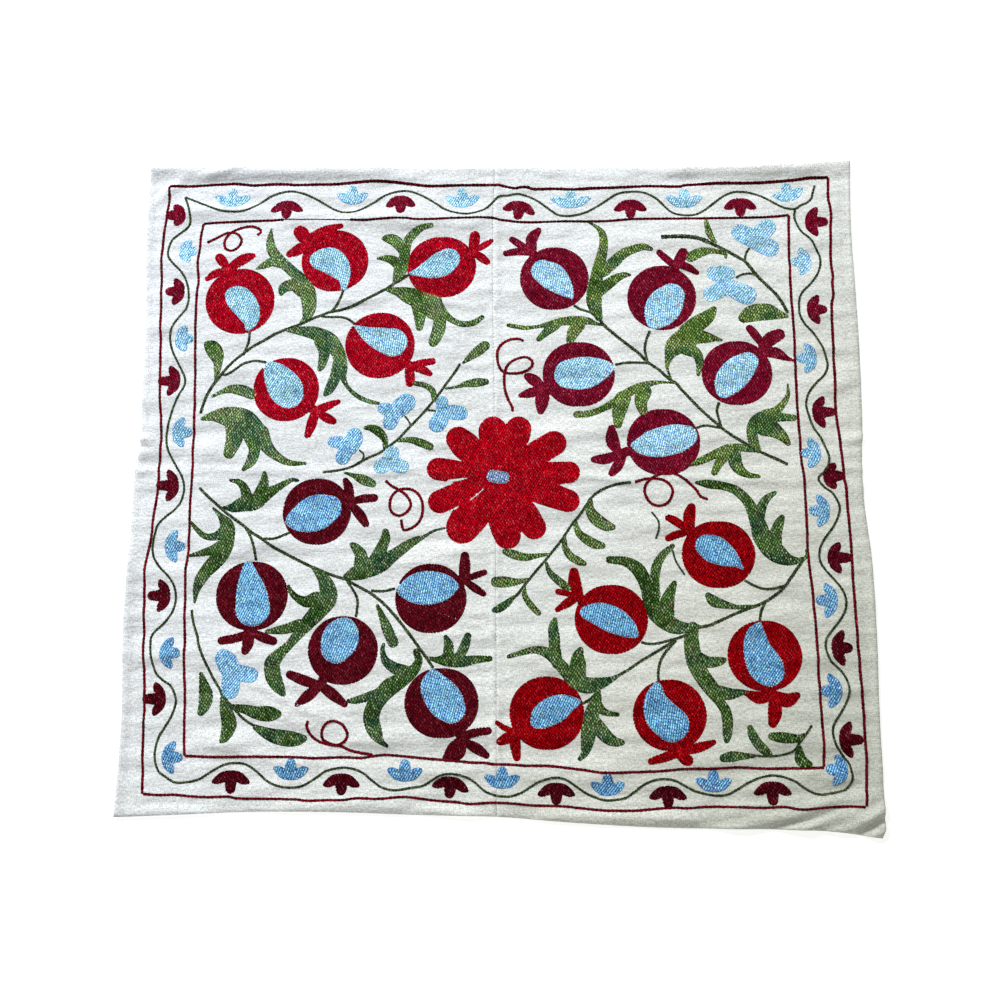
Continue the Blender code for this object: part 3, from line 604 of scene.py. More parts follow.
# Leaves: each leaf is one or more strokes of points (x, y, full width)
LEAVES = {
    "upper_left": [
        [[(-372, 132, 4), (-371, 145, 9), (-371, 158, 13), (-374, 168, 20), (-379, 176, 20),
          (-386, 181, 10)]],
        [[(-375, 110, 4), (-364, 116, 6), (-351, 120, 11), (-336, 118, 15), (-324, 113, 14)]],
        [[(-387, 79, 5), (-370, 83, 15), (-352, 82, 27), (-333, 76, 33), (-318, 62, 31)],
         [(-343, 72, 28), (-344, 52, 22), (-349, 33, 15)],
         [(-322, 58, 22), (-316, 38, 15), (-320, 22, 13), (-329, 11, 5)],
         [(-309, 60, 22), (-301, 43, 17), (-288, 30, 12), (-270, 20.5, 8), (-249, 19.5, 4)]],
        [[(-278, 200, 5), (-262, 199, 12), (-242, 195.5, 18), (-223, 185.5, 22), (-210.5, 169, 18),
          (-205.5, 150, 16),
          (-203, 136, 9), (-196, 122, 5), (-183, 110, 6), (-168, 103, 6), (-155, 100, 4)],
         [(-233, 186, 20), (-229, 170, 15), (-231, 155, 11), (-234, 147, 7)],
         [(-210, 155, 14), (-212.5, 138, 15), (-219.5, 120, 12), (-225, 112, 6)]],
        [[(-146, 256, 6), (-131, 253, 13), (-118, 248, 22), (-104, 243, 26), (-92, 236, 26),
          (-84, 226, 24)],
         [(-106, 240, 20), (-103, 220, 16), (-103, 203, 9)],
         [(-85, 240, 22), (-77, 220, 17), (-77.5, 200, 17), (-84, 183, 13)],
         [(-79, 233, 14), (-64, 216.5, 9), (-48, 208, 8), (-32, 209, 8), (-20, 217, 6)]],
        [[(-307, 343, 2), (-308, 326, 10), (-304, 311, 14), (-294, 299, 14), (-280, 286, 14),
          (-265, 272, 16),
          (-256, 256, 22), (-252, 240, 20), (-252, 226, 16), (-256, 216, 8), (-262, 210, 3)],
         [(-325, 286, 2), (-314, 291, 9), (-303, 296, 13), (-292, 295, 16)],
         [(-290, 251, 5), (-288, 258, 12), (-282, 262, 15), (-272, 263, 17), (-262, 258, 22)]],
        [[(-139, 264, 3), (-134, 272, 12), (-130, 284, 18), (-126, 298, 15), (-124, 312, 13),
          (-121, 326, 12), (-112, 336.5, 11), (-102, 343, 8), (-90, 345.5, 6)],
         [(-155, 328, 4), (-148, 328, 12), (-139, 325, 16), (-131, 317, 15), (-126, 308, 12)],
         [(-161, 300, 3), (-150, 300, 9), (-140, 297, 13), (-131, 289, 16)]],
    ],
    "left_spray": [
        [[(-44, 155, 3), (-35, 163, 9), (-25, 171, 13), (-16, 178, 13)]],
        [[(-66, 120, 3), (-52, 122, 4), (-40, 126, 8), (-26, 128, 12), (-14, 129, 8)]],
        [[(-81, 105, 7), (-84, 117, 8), (-94, 124, 7), (-108, 127, 6)]],
        [[(-144, 40, 6), (-146, 53, 9), (-155, 63, 12), (-165, 67, 8), (-171, 67, 5)]],
        [[(-128, 50, 4), (-112, 51, 8), (-98, 47, 11), (-86, 42, 10)]],
        [[(-196, 7, 3), (-184, 3, 6), (-172, -2, 13), (-160, -7, 10)]],
    ],
    "upper_right": [
        [[(134, 216, 10), (128, 238, 20), (130, 262, 18), (134, 285, 15), (139, 305, 13), (141, 320, 11),
          (139, 333, 9), (131, 343, 5), (119, 350, 2)],
         [(141, 280, 14), (155, 294, 15), (170, 306.5, 12), (192, 313.5, 9), (204, 311, 5)],
         [(135, 254, 16), (147, 263, 15), (158, 271, 12), (168, 275, 8), (175, 275, 4)]],
        [[(143, 205, 3), (132, 207, 4), (120, 211, 9), (105, 212, 12), (86, 211, 11), (69, 207, 9),
          (54, 204, 5), (38, 202, 6), (25, 204, 6), (15, 206, 5)],
         [(76, 206, 14), (66, 197, 11), (55, 186, 6)], [(107, 206, 18), (100, 195, 15), (96, 184, 9)]],
        [[(234, 127, 3), (215, 128, 4), (200, 126, 8), (185, 121, 11), (169, 112, 12), (154, 101, 10),
          (135, 91, 8), (120, 86, 9), (105, 85, 9)],
         [(192, 115, 20), (188, 101, 16), (191, 89, 11)], [(165, 106, 20), (160, 89, 18), (158, 71, 10)]],
        [[(228, 132, 3), (223, 148, 4), (226, 164, 12), (235, 178, 26), (250, 189, 30)],
         [(248, 196, 20), (262, 206, 22), (276, 216, 18), (285, 227, 8)],
         [(249, 192, 24), (271, 189, 16), (286, 187, 7), (294, 185, 3)],
         [(249, 174, 20), (261, 166, 14), (265, 154, 10), (263, 138, 4)]],
        [[(288, 320, 6), (281, 333, 9), (277, 349, 5)]],
        [[(256, 299, 14), (268, 305, 13), (283, 308, 8), (301, 304, 5), (302, 298, 3)]],
        [[(324, 215, 14), (335, 221, 22), (354, 223, 22), (366, 220, 14), (380, 217, 4)]],
        [[(338, 38, 8), (332, 49, 13), (331, 62, 15), (338, 73, 22), (350, 80, 22), (362, 89, 12),
          (372, 100, 8), (378, 112, 5), (378, 125, 2)],
         [(355, 82, 14), (368, 81, 11), (384, 80, 8)],
         [(347, 70, 28), (359, 64, 20), (369, 56, 13), (376, 47, 7)]],
        [[(338, 37, 4), (326, 39, 8), (312, 41, 10), (298, 38, 14), (280, 31, 11), (263, 23, 9),
          (251, 18, 4)],
         [(296, 32, 14), (287, 20, 11), (281, 8, 8)],
         [(307, 34, 16), (308.5, 21, 17), (315, 10.5, 13), (325, 4.5, 8), (337, 3, 5)]],
    ],
    "right_spray": [
        [[(122, -28, 6), (122, -42, 12), (130, -53, 16), (142, -61, 14), (150, -63, 8)]],
        [[(103, -58, 6), (107, -70, 9), (117, -79, 12), (128, -85, 12), (137, -87, 8)]],
        [[(89, -78, 5), (90, -90, 8), (97, -101, 10), (107, -107, 10), (114, -110, 6)]],
        [[(71, -98, 3), (55, -100, 6), (38, -102, 10), (22, -98, 11), (13, -95, 7)]],
        [[(66, -110, 4), (70, -121, 7), (80, -131, 10), (90, -139, 10), (95, -142, 6)]],
        [[(42, -131, 4), (27, -134, 9), (12, -134, 14), (2, -134, 13)]],
        [[(38, -140, 4), (39, -152, 7), (47, -164, 8), (56, -173, 7)]],
        [[(25, -153, 4), (15, -162, 9), (6, -168, 10), (0, -170, 6)]],
    ],
    "lower_left": [
        [[(-354, -39, 3), (-341, -39, 12), (-327, -34, 20), (-313, -31, 22), (-299, -22, 16),
          (-284, -13, 10), (-267, -3, 6), (-258, -3, 4)],
         [(-323, -30, 16), (-326, -16, 12), (-334, -6, 8), (-346, -3, 4)],
         [(-307, -25, 18), (-302, -8, 13), (-301, 6, 5)]],
        [[(-367, -40, 3), (-357, -50, 7), (-348, -62, 17), (-345, -77, 17), (-349, -92, 20),
          (-358, -106, 20), (-370, -120, 18), (-379, -134, 14), (-384, -148, 8), (-385, -162, 3)],
         [(-350, -71, 18), (-362, -77, 11), (-375, -77, 8), (-386, -69, 6), (-395, -59, 4)],
         [(-352, -89, 16), (-365, -95, 12), (-380, -99, 8), (-394, -102, 4)]],
        [[(-191, -128, 6), (-178, -124, 18), (-163, -117, 25), (-146, -111, 22), (-131, -101, 16),
          (-115, -89, 13), (-102, -81, 9), (-91, -76, 4), (-79, -69, 3), (-65, -65, 2.5)],
         [(-171, -116, 20), (-172, -101, 16), (-179, -91, 11), (-184, -87, 6)],
         [(-152, -108, 20), (-146, -92, 15), (-141, -78, 12), (-141, -70, 8)]],
        [[(-232, -118, 6), (-222, -128, 13), (-214, -142, 20), (-213, -156, 24), (-223, -171, 22),
          (-237, -187, 18),
          (-248, -200, 14), (-260, -215, 11), (-272, -227, 14), (-281, -239, 19), (-279, -255, 20),
          (-272, -268, 15), (-265, -278, 6)],
         [(-228, -157, 18), (-240, -161, 14), (-252, -156, 9), (-260, -149, 7), (-264, -141, 4)],
         [(-248, -190, 14), (-268, -196, 12), (-290, -199, 5)]],
        [[(-149, -165, 4), (-142, -180, 9), (-135, -196, 14), (-128, -211, 14)]],
        [[(-85, -230, 3), (-71, -233, 8), (-56, -233, 17), (-39, -234.5, 14), (-22, -232, 10),
          (-5, -231, 7)],
         [(-58, -230, 14), (-57, -215, 12), (-61, -204, 5)],
         [(-46, -232, 10), (-38, -218, 12), (-33, -203, 9)]],
        [[(-98, -223, 8), (-95, -235, 10), (-102, -247, 14), (-115, -258, 18), (-130, -267, 22),
          (-142, -280, 20),
          (-150, -293, 20), (-153, -307, 20), (-148, -321, 18), (-141, -333, 9), (-132, -340, 4)],
         [(-135, -273, 15), (-155, -279, 12), (-172, -284, 9), (-182, -285, 5)],
         [(-112, -248, 16), (-126, -243, 14), (-137, -234, 10), (-141, -222, 6), (-140, -214, 4)]],
        [[(-372, -253, 5), (-368, -265, 11), (-364, -280, 18), (-365, -292, 15), (-369, -301, 9)]],
        [[(-341, -284, 9), (-337, -300, 16), (-333, -315, 19), (-336, -330, 13), (-340, -336, 6)]],
        [[(-328, -294, 7), (-312, -297, 12), (-298, -301, 16), (-283, -302, 19), (-271, -302, 10)]],
        [[(-299, -319, 7), (-282, -327, 15), (-267, -331, 19), (-250, -333, 18), (-238, -332, 9)]],
    ],
    "lower_right": [
        [[(258, -5, 4), (274, -7, 11), (294, -10, 10), (309, -16, 12), (321, -28, 13), (329, -43, 16),
          (335, -59, 20), (341, -77, 24), (354, -93, 26), (369, -103, 16), (383, -105, 8), (394, -100, 4),
          (395, -91, 3)],
         [(336, -50, 14), (340, -36, 12), (347, -25, 9), (357, -18, 5)],
         [(354, -85, 20), (357, -70, 15), (361, -58, 12), (365, -50, 7)]],
        [[(270, -150, 8), (277, -157, 14), (290, -161, 10), (305, -164, 6), (325, -163, 4)]],
        [[(146, -105, 9), (166, -107, 12), (181, -116, 17), (189, -129, 17), (195, -142, 19),
          (198, -158, 20),
          (206, -173, 23), (220, -185, 21), (232, -190, 17), (245, -190, 10), (258, -189, 5)],
         [(203, -150, 14), (203, -130, 12), (206, -112, 12), (214, -98, 9), (226, -87, 6)],
         [(216, -177, 22), (218, -160, 18), (222, -147, 13), (228, -134, 6)]],
        [[(250, -190, 14), (248, -205, 18), (249, -221, 20), (253, -237, 20), (263, -254, 20),
          (275, -270, 18),
          (281, -281, 12), (288, -292, 13), (290.5, -307, 13), (290, -321, 11), (289, -329, 6)],
         [(256, -228, 16), (268, -233, 14), (281, -232, 11), (288, -230, 6)],
         [(278, -270, 18), (295, -272, 14), (307, -270, 8), (315, -270, 5)]],
        [[(19, -228, 5), (36, -223, 7), (52, -219.5, 9), (67, -223, 13), (80, -234, 14), (91, -246, 16),
          (103, -258, 20), (118, -263, 20), (134, -260, 14), (148, -255, 7), (155, -251, 4)],
         [(80, -236, 14), (77, -218, 14), (76, -203, 14), (75, -191, 12), (77, -181, 5)],
         [(105, -250, 22), (106, -238, 20), (106, -228, 15), (109, -219, 7)]],
        [[(131, -270, 6), (129, -280, 12), (125, -291, 16), (121.5, -305, 19), (119, -320, 19),
          (117, -334, 15), (114, -346, 9), (108, -353, 5)],
         [(130, -284, 10), (134, -292, 11), (143, -297, 7), (155, -298.5, 5)],
         [(126, -306, 14), (133.5, -317, 17), (141.5, -326, 16), (151, -331.5, 12), (160, -332.5, 7)]],
        [[(318, -313, 7), (321, -322, 11), (327, -332, 12), (335, -340, 11), (342, -344, 5)]],
        [[(344, -323, 9), (355, -324, 13), (366, -325, 12), (376, -325, 9), (384, -321, 5)]],
        [[(378, -337, 6), (378, -346, 12), (381, -353, 14), (390, -356, 6)]],
        [[(284, -350, 9), (294, -348, 13), (304, -347, 10), (322, -347, 4)]],
    ],
}

# Threads: sRGB colour on the crown of a stitch, the painted shade in the grooves beside it, and its few
# light specks, which are painted highlights; and how much of the highlights' colour a crown may take
Thread = namedtuple("Thread", "crown groove speck speck_share")
THREADS = {
    "bright_red": Thread((183, 6, 32), (62, 0, 10), (236, 92, 104), 0.13),
    "flower_red": Thread((190, 7, 26), (64, 0, 8), (236, 92, 104), 0.11),
    "lower_red": Thread((164, 4, 14), (46, 0, 4), (222, 80, 84), 0.07),
    "wine": Thread((131, 14, 42), (40, 3, 14), (200, 94, 122), 0.13),
    "maroon": Thread((97, 13, 26), (24, 2, 6), (180, 80, 98), 0.10),
    "bottom_red": Thread((76, 10, 18), (16, 0, 3), (156, 70, 86), 0.08),
    "line_red": Thread((106, 9, 22), (12, 0, 3), (190, 70, 86), 0.08),
    "dark_line_red": Thread((76, 7, 14), (10, 0, 2), (150, 50, 62), 0.06),
    "curl_red": Thread((122, 8, 24), (16, 0, 3), (200, 70, 84), 0.06),
    "blue": Thread((204, 255, 255), (38, 120, 180), (255, 255, 255), 0.14),
    "pale_blue": Thread((217, 255, 255), (44, 146, 208), (255, 255, 255), 0.14),
    "deep_blue": Thread((164, 238, 255), (16, 70, 172), (240, 252, 255), 0.12),
    "dark_blue": Thread((148, 223, 255), (12, 60, 148), (236, 250, 255), 0.12),
    "flower_blue": Thread((184, 250, 255), (20, 88, 184), (244, 252, 255), 0.14),
    "grey_blue": Thread((176, 200, 232), (44, 72, 130), (240, 246, 255), 0.14),
    "bottom_blue": Thread((128, 200, 246), (8, 48, 126), (226, 244, 255), 0.12),
    "stem_green": Thread((50, 68, 40), (5, 10, 4), (150, 166, 124), 0.12),
}
SEWING_THREAD = Thread((226, 226, 220), (206, 206, 200), (234, 234, 228), 0.1)

# The thread of each corner's fruits and hearts, of each side's frame lines and of each blue flower
FRUIT_THREADS = {"upper_left": "bright_red", "upper_right": "wine", "lower_left": "maroon",
                 "lower_right": "lower_red"}
HEART_THREADS = {"upper_left": "blue", "upper_right": "pale_blue", "lower_left": "deep_blue",
                 "lower_right": "dark_blue"}
LINE_THREADS = {"top": "dark_line_red", "right": "line_red", "bottom": "line_red", "left": "line_red"}
BLUE_FLOWER_THREADS = ["pale_blue", "pale_blue", "flower_blue", "flower_blue", "flower_blue", "pale_blue",
                       "flower_blue"]

# Painted shade on the border: its threads pass into darker ones from this y down, over this length, up to
# this share
SHADE_FADE_TOP, SHADE_FADE_LENGTH, SHADE_FADE_MOST = 350.0, 700.0, 0.9

# How bright the crowns of a thread are, from and to
CROWN_TONES = (0.75, 1.35)
STEM_TONES = (0.35, 1.7)
LINE_TONES = (0.4, 1.6)

# The greens that run into one another along a leaf's thread, the light specks on them, which are painted
# highlights, and the share of the green that its grooves keep as painted shade; then how much red, green and
# blue each corner keeps of them
LEAF_GREENS = [(60, 96, 46), (96, 134, 58), (142, 170, 108), (66, 112, 80), (104, 138, 66)]
LEAF_SPECK_HIGHLIGHT = (198, 214, 172)
LEAF_GROOVE_SHADE = 0.06
LEAF_SHADES = {
    "upper_left": (1.10, 1.10, 1.25), "left_spray": (0.86, 0.90, 0.90), "upper_right": (1.14, 1.12, 0.85),
    "right_spray": (0.92, 0.92, 0.80), "lower_left": (0.56, 0.66, 0.68), "lower_right": (0.66, 0.74, 0.68),
}

# Leaf greens: the length of a change and its layer in the noise, its spread and its middle in the list, how
# much it jumps from stitch to stitch and how far it moves on from one leaf to the next; then how bright the
# painted shade of the grooves and dips is, how bright the crowns are, and how much painted highlight a crown
# takes
LEAF_CHANGE, LEAF_LAYER = 34.0, 1.7
LEAF_SPREAD, LEAF_MIDDLE, LEAF_JUMP = 2.6, 1.9, 0.7
LEAF_OFFSET = 7.3
LEAF_GROOVE_TONES = (0.4, 1.8)
LEAF_DIP_TONES = (0.02, 0.65)
LEAF_CROWN_TONES = (0.55, 2.0)
LEAF_HIGHLIGHT_SHARE = 0.75

# How much of the crown's colour a dip between two stitches keeps, from and to; the rest is painted shade in
# the dip
DIP_SHADE_SHARES = (0.15, 0.95)

# How bright the painted shade in the groove beside a stitch is, from and to, and the slow change of tone
# over a motif
GROOVE_TONES = (0.5, 1.2)
TONE_CHANGE, TONE_LENGTH, TONE_LAYER = 0.22, 22.0, 5.0

# How strongly the few light specks of a plain thread, its painted highlights, show
HIGHLIGHT_STRENGTH = 4.0

# How much of the crown's colour the painted groove shade of the red motifs may take
RED_SHALLOW = 0.6

# How the cloth's colour changes from the upper left corner (0) to the lower right one (1); ends first. It is
# partly
# yellowing and partly painted shade: darker towards the corners, and most of all towards the lower right
YELLOWING_AND_PAINTED_SHADE = [(0.0, (0.842, 0.866, 0.946)), (1.0, (0.708, 0.721, 0.655)), (0.40, (0.928, 0.946, 1.0)),
          (0.50, (0.941, 0.957, 0.985)), (0.61, (0.918, 0.937, 0.946)), (0.80, (0.865, 0.869, 0.821))]

# Laid stitches: rows and stitches, rises of crowns, dips, sides and ends, how far in from a row's end its
# first and last stations lie, the shortest row that is laid, and how far a station may stray along its row
ROW_PITCH = 2.9
STITCH_LENGTH = 4.0
CROWN_RISE = 0.9
CROWN_SPREAD = (0.85, 1.12)
DIP_RISE = 0.5
LIFT = 0.10
END_RISE = 0.6
END_INSET = 0.7
SHORTEST_ROW = 0.6
MARK_SPREAD = 0.5

# Half widths of a row in shares of the pitch, at a crown and at a dip, and how its crest follows its sides
CROWN_HALF, DIP_HALF = 0.56, 0.5
CREST_SHIFT = 0.35

# The way that each kind of motif's rows run, in degrees, from and to
RIND_WAYS, CROWN_WAYS, HEART_WAYS = (52, 66), (45, 75), (56, 84)
FLOWER_WAY, FLOWER_HEART_WAY = 60, 72
BLUE_FLOWER_WAYS, LEAF_WAYS, LOTUS_WAYS = (52, 70), (48, 68), (50, 70)

# How far a fruit's body is drawn out to either side, at the least
LEAST_STRETCH = 0.5

# The neck that carries a fruit's crown, how much wider it is where it leaves the fruit, how far out that is,
# and how much fuller thread makes a shape to each side
NECK_WIDTH = 9.0
NECK_MORE = 4
NECK_FROM = 0.8
EDGE_GROW = 0.25
PETAL_GROW = 0.9
HOLE_GROW = 0.3

# A motif's shape is made of discs this far apart; stretches of a row that come this close are joined
DISC_STEP = 1.3
SMALLEST_DISC = 0.6
JOIN = 0.2

# How far a station's sides reach where the outline gives none, the least that they reach, and how far past
# the outline it still counts
BARE_REACH, LEAST_REACH, OUTLINE_PAST = 0.15, 0.1, 0.3

# One grain of a chain link: how far along the link and off its line, its half width, and its rise.
# The first is a share of the link, the next two are shares of the line's width
Grain = namedtuple("Grain", "along off half rise")
LINK_GRAINS = [
    Grain(-0.20, 0.10, 0.20, 0.30), Grain(0.25, 0.21, 0.32, 1.0),
    Grain(0.75, 0.21, 0.32, 1.0), Grain(1.20, 0.10, 0.20, 0.35),
]
LINK_DRIFT = 0.05
# Steps along a chained line, and how far to either side its way is read
CHAIN_STEP, CHAIN_LOOK = 0.8, 0.5

# Sewn stitches: half width and rise at the ends and at the middle
Sewn = namedtuple("Sewn", "end_half end_rise half rise")
SEAM_SEWN = Sewn(0.2, 0.0, 0.3, 0.3)
SEAM_STITCH = (1.5, 0.5)
SEAM_WAY = (0.95, 0.3)
SEAM_PITCH, SEAM_PITCH_SPREAD = 4.6, 0.4
HEM_SEWN = Sewn(0.15, -0.05, 0.22, 0.16)
HEM_STITCH = 1.1
HEM_PITCH, HEM_PITCH_SPREAD = 6.2, 0.7
HEM_INSET = HEM_WIDTH - 1.0

# Where the rows of sewn stitches begin and end
SEAM_FROM, SEAM_TO = -420.0, 424.0
HEM_ALONG_Y = (-418.0, 420.0)
HEM_ALONG_X = (-466.0, 464.0)

# Cotton: the scales of its weave, dinge and small crumples, the tones of weave and dinge, and the relief
WEFT_SCALE = (190.0, 820.0, 1.0)
WARP_SCALE = (860.0, 300.0, 1.0)
DINGE_SCALE = (9.0, 13.0, 1.0)
CRUMPLE_SCALE = (26.0, 78.0, 1.0)
WEAVE_TONES = [(0.39, (0.585, 0.595, 0.585)), (0.61, (0.955, 0.965, 0.96))]
DINGE_TONES = [(0.35, (0.94, 0.94, 0.92)), (0.65, (1.0, 1.0, 1.0))]
WEAVE_RELIEF = {"Strength": 0.35, "Distance": 0.0006}
CRUMPLE_RELIEF = {"Strength": 1.0, "Distance": 0.0023}
COTTON_ROUGHNESS, COTTON_SHINE = 0.92, 0.2

# Thread: its roughness, and the grain that its twist gives it
SILK_ROUGHNESS, SEWING_ROUGHNESS = 0.6, 0.8
GRAIN_SCALE = 640.0
GRAIN_TONES = {"From Min": 0.25, "From Max": 0.75, "To Min": 0.05, "To Max": 1.95}
GRAIN_RELIEF = {"Strength": 0.3, "Distance": 0.0003}

# Seeds of the random draws
EMBROIDERY_SEED, SEWING_SEED = 41, 17

# The way along which the cloth's yellowing and painted shade change, and how far from the middle that begins
# and ends, in metres
YELLOWING_AND_SHADE_WAY = (0.80, -0.60, 0.0)
YELLOWING_AND_SHADE_REACH = 0.53

# The photograph's camera: how far it leans to the near side, to the right and over, in degrees
CAMERA_TILT, CAMERA_SIDE, CAMERA_ROLL = 9.6, 2.4, 0.55
CAMERA_TARGET = (0.0064, -0.0225, 0.00185)
CAMERA_DISTANCE = 1.483
CAMERA_LENS, CAMERA_SENSOR = 41.4, 36.0

# Studio: one soft light from the far left, and a pale room round it
LIGHT_PLACE, LIGHT_WATTS, LIGHT_SIZE = (-2.2, 2.7, 2.1), 215.0, 1.0
LIGHT_COLOUR = (0.97, 1.0, 1.0)
ROOM_COLOUR, ROOM_STRENGTH = (1.0, 0.985, 0.93, 1.0), 0.46
FLOOR_HALF = 4.0
FLOOR_COLOUR, FLOOR_ROUGHNESS, FLOOR_GLOW = (0.85, 0.85, 0.85, 1.0), 0.9, 0.55


def smooth(t):
    t = min(1.0, max(0.0, t))
    return t * t * (3.0 - 2.0 * t)


def along_edge(table, along):
    """The edge's out value at a distance along it, on a smooth curve through the table's points."""
    last = len(table) - 1
    along = min(table[last].along, max(table[0].along, along))
    i = 0
    while i < last - 1 and along > table[i + 1].along:
        i += 1
    before, start, end, after = (table[max(0, i - 1)], table[i], table[i + 1], table[min(last, i + 2)])
    span = end.along - start.along
    t = (along - start.along) / span
    slope_start = (end.out - before.out) / (end.along - before.along)
    slope_end = (after.out - start.out) / (after.along - start.along)
    return (start.out * (2 * t**3 - 3 * t**2 + 1) + end.out * (3 * t**2 - 2 * t**3)
            + span * slope_start * (t**3 - 2 * t**2 + t) + span * slope_end * (t**3 - t**2))


def fold_rise(fold, x, y):
    """How far one fold lifts the cloth at a point."""
    run_x, run_y = fold.x2 - fold.x1, fold.y2 - fold.y1
    length = math.hypot(run_x, run_y)
    along = ((x - fold.x1) * run_x + (y - fold.y1) * run_y) / length
    across = ((x - fold.x1) * run_y - (y - fold.y1) * run_x) / length
    if abs(across) >= fold.reach or along <= 0 or along >= length:
        return 0.0
    ends = smooth(along / FOLD_END) * smooth((length - along) / FOLD_END)
    return fold.rise * ends * (1.0 - (across / fold.reach) ** 2) ** 2


def height(x, y):
    """Underside of the cloth above the table: nothing where it lies flat."""
    return sum(fold_rise(fold, x, y) for fold in FOLDS)


def uneven(waves, x, y, slant=0.0):
    """How far one kind of wave lifts or lowers the cloth."""
    return noise.noise(Vector((x / waves.across - slant, y / waves.along, waves.layer))) * waves.rise


def slack(x, y):
    """The small unevenness of hand-loomed cloth: long weft waves, slanting ripples and fine puckers."""
    return uneven(WEFT_WAVES, x, y) + uneven(RIPPLES, x, y, y / RIPPLE_SLANT) + uneven(PUCKERS, x, y)


def seam_pucker(column, y):
    """How far the seam's stitches lift and draw in the cloth beside them, where no embroidery covers it."""
    if any(low - COVER_MARGIN < y < high + COVER_MARGIN for low, high in SEAM_COVERED):
        return 0.0
    rhythm = math.sin(y / SEAM_RHYTHM + SEAM_DRIFT * math.sin(y / SEAM_DRIFT_LENGTH))
    return (1.0 - smooth(column / SEAM_REACH)) * SEAM_RISE * rhythm


def eased(at_edge, distance, reach):
    """A share that is at_edge at an edge, and full at the reach."""
    return at_edge + (1.0 - at_edge) * smooth(distance / reach)


def lines(bands):
    """Distances of the mesh lines, band by band."""
    places = [0.0]
    for band in bands:
        start = places[-1]
        count = max(1, round((band.end - start) / band.pitch))
        places += [start + (band.end - start) * k / count for k in range(1, count + 1)]
    return places


def thickness(edge):
    """One layer of cloth, and more in the turned hem, at a distance from the nearest outer edge."""
    hem = 1.0 - smooth((edge - HEM_WIDTH) / HEM_STEP)
    full = CLOTH_THICKNESS + (HEM_THICKNESS - CLOTH_THICKNESS) * hem
    return full * eased(EDGE_SHARE, edge, EDGE_ROUND)


def place(x, y, z):
    """A point of the tables in the frame's metres."""
    return ((x - MIDDLE_X) * MM, (y - MIDDLE_Y) * MM, z * MM)


def add_object(name, mesh):
    piece = bpy.data.objects.new(name, mesh)
    bpy.context.scene.collection.objects.link(piece)
    return piece


def add_cloth(name, outer_edge, side):
    """One loom strip from the seam to its outer edge; side is -1 on the left and 1 on the right."""
    columns = lines(COLUMN_BANDS)
    rows = lines(ROW_BANDS)
    mesh = bmesh.new()
    bmesh.ops.create_grid(mesh, x_segments=len(columns) - 1, y_segments=len(rows) - 1, size=0.5)
    tops = {}
    for vert in mesh.verts:
        column = columns[round((vert.co.x + 0.5) * (len(columns) - 1))]
        row = rows[round((vert.co.y + 0.5) * (len(rows) - 1))]
        near_x = side * column
        bottom = along_edge(BOTTOM_EDGE, near_x)
        top = along_edge(TOP_EDGE, near_x)
        y = bottom + (top - bottom) * row / LENGTH
        seam = along_edge(SEAM_LINE, y) + side * SEAM_GAP / 2
        x = seam + (along_edge(outer_edge, y) - seam) * column / HALF_WIDTH
        from_edge = min(HALF_WIDTH - column, row, LENGTH - row)
        loose = max(0.0, SLACK_LIFT + slack(x, y) * smooth(column / SLACK_FROM_SEAM))
        creases = sum(fold_rise(crease, x, y) for crease in CREASES)
        under = height(x, y) + loose * eased(SLACK_AT_EDGE, from_edge, SLACK_FROM_EDGE) + creases
        selvedge = eased(SELVEDGE_SHARE, column, SELVEDGE_ROUND)
        vert.co = (x, y, under)
        tops[vert] = (thickness(from_edge) + seam_pucker(column, y)) * selvedge
    upper = bmesh.ops.duplicate(mesh, geom=mesh.verts[:] + mesh.edges[:] + mesh.faces[:])
    for vert, copy in upper["vert_map"].items():
        if vert in tops:
            copy.co.z += tops[vert]
    top_faces = [part for part in upper["geom"] if isinstance(part, bmesh.types.BMFace)]
    mesh.verts.index_update()
    points = [tuple(vert.co) for vert in mesh.verts]
    polygons = [[vert.index for vert in face.verts] for face in top_faces]
    tree = BVHTree.FromPolygons(points, polygons)
    rim = [edge for edge in mesh.edges if edge.is_boundary]
    bmesh.ops.bridge_loops(mesh, edges=rim)
    bmesh.ops.recalc_face_normals(mesh, faces=mesh.faces[:])
    for vert in mesh.verts:
        vert.co = place(*vert.co)
    data = bpy.data.meshes.new(name)
    mesh.to_mesh(data)
    mesh.free()
    data.materials.append(COTTON)
    data.shade_smooth()
    return add_object(name, data), tree


def linear(colour):
    """An sRGB colour of 0 to 255 in linear light."""
    parts = []
    for part in colour:
        part /= 255.0
        parts.append(part / 12.92 if part <= 0.04045 else ((part + 0.055) / 1.055) ** 2.4)
    return tuple(parts)


def mixed(a, b, share):
    return tuple(p + (q - p) * share for p, q in zip(a, b))


def spline(points, step):
    """Points about one step apart on a smooth curve through these points, each of any number of values."""
    points = [np.array(point, dtype=float) for point in points]
    padded = [2 * points[0] - points[1]] + points + [2 * points[-1] - points[-2]]
    out = []
    for i in range(1, len(padded) - 2):
        p0, p1, p2, p3 = padded[i - 1:i + 3]
        count = max(1, int(math.ceil(np.linalg.norm((p2 - p1)[:2]) / step)))
        for k in range(count):
            t = k / count
            out.append(0.5 * (2 * p1 + (p2 - p0) * t + (2 * p0 - 5 * p1 + 4 * p2 - p3) * t**2
                              + (3 * p1 - p0 - 3 * p2 + p3) * t**3))
    out.append(points[-1])
    return out


def discs(strokes, grow):
    """The discs (x, y, radius) that a motif's strokes are made of."""
    return np.array([(x, y, max(SMALLEST_DISC, width / 2 + grow))
                     for stroke in strokes for x, y, width in spline(stroke, DISC_STEP)])


def turned(shape, angle):
    """The discs, with their first axis along the rows."""
    c, s = math.cos(angle), math.sin(angle)
    x, y, radius = shape.T
    return np.column_stack((x * c + y * s, y * c - x * s, radius))


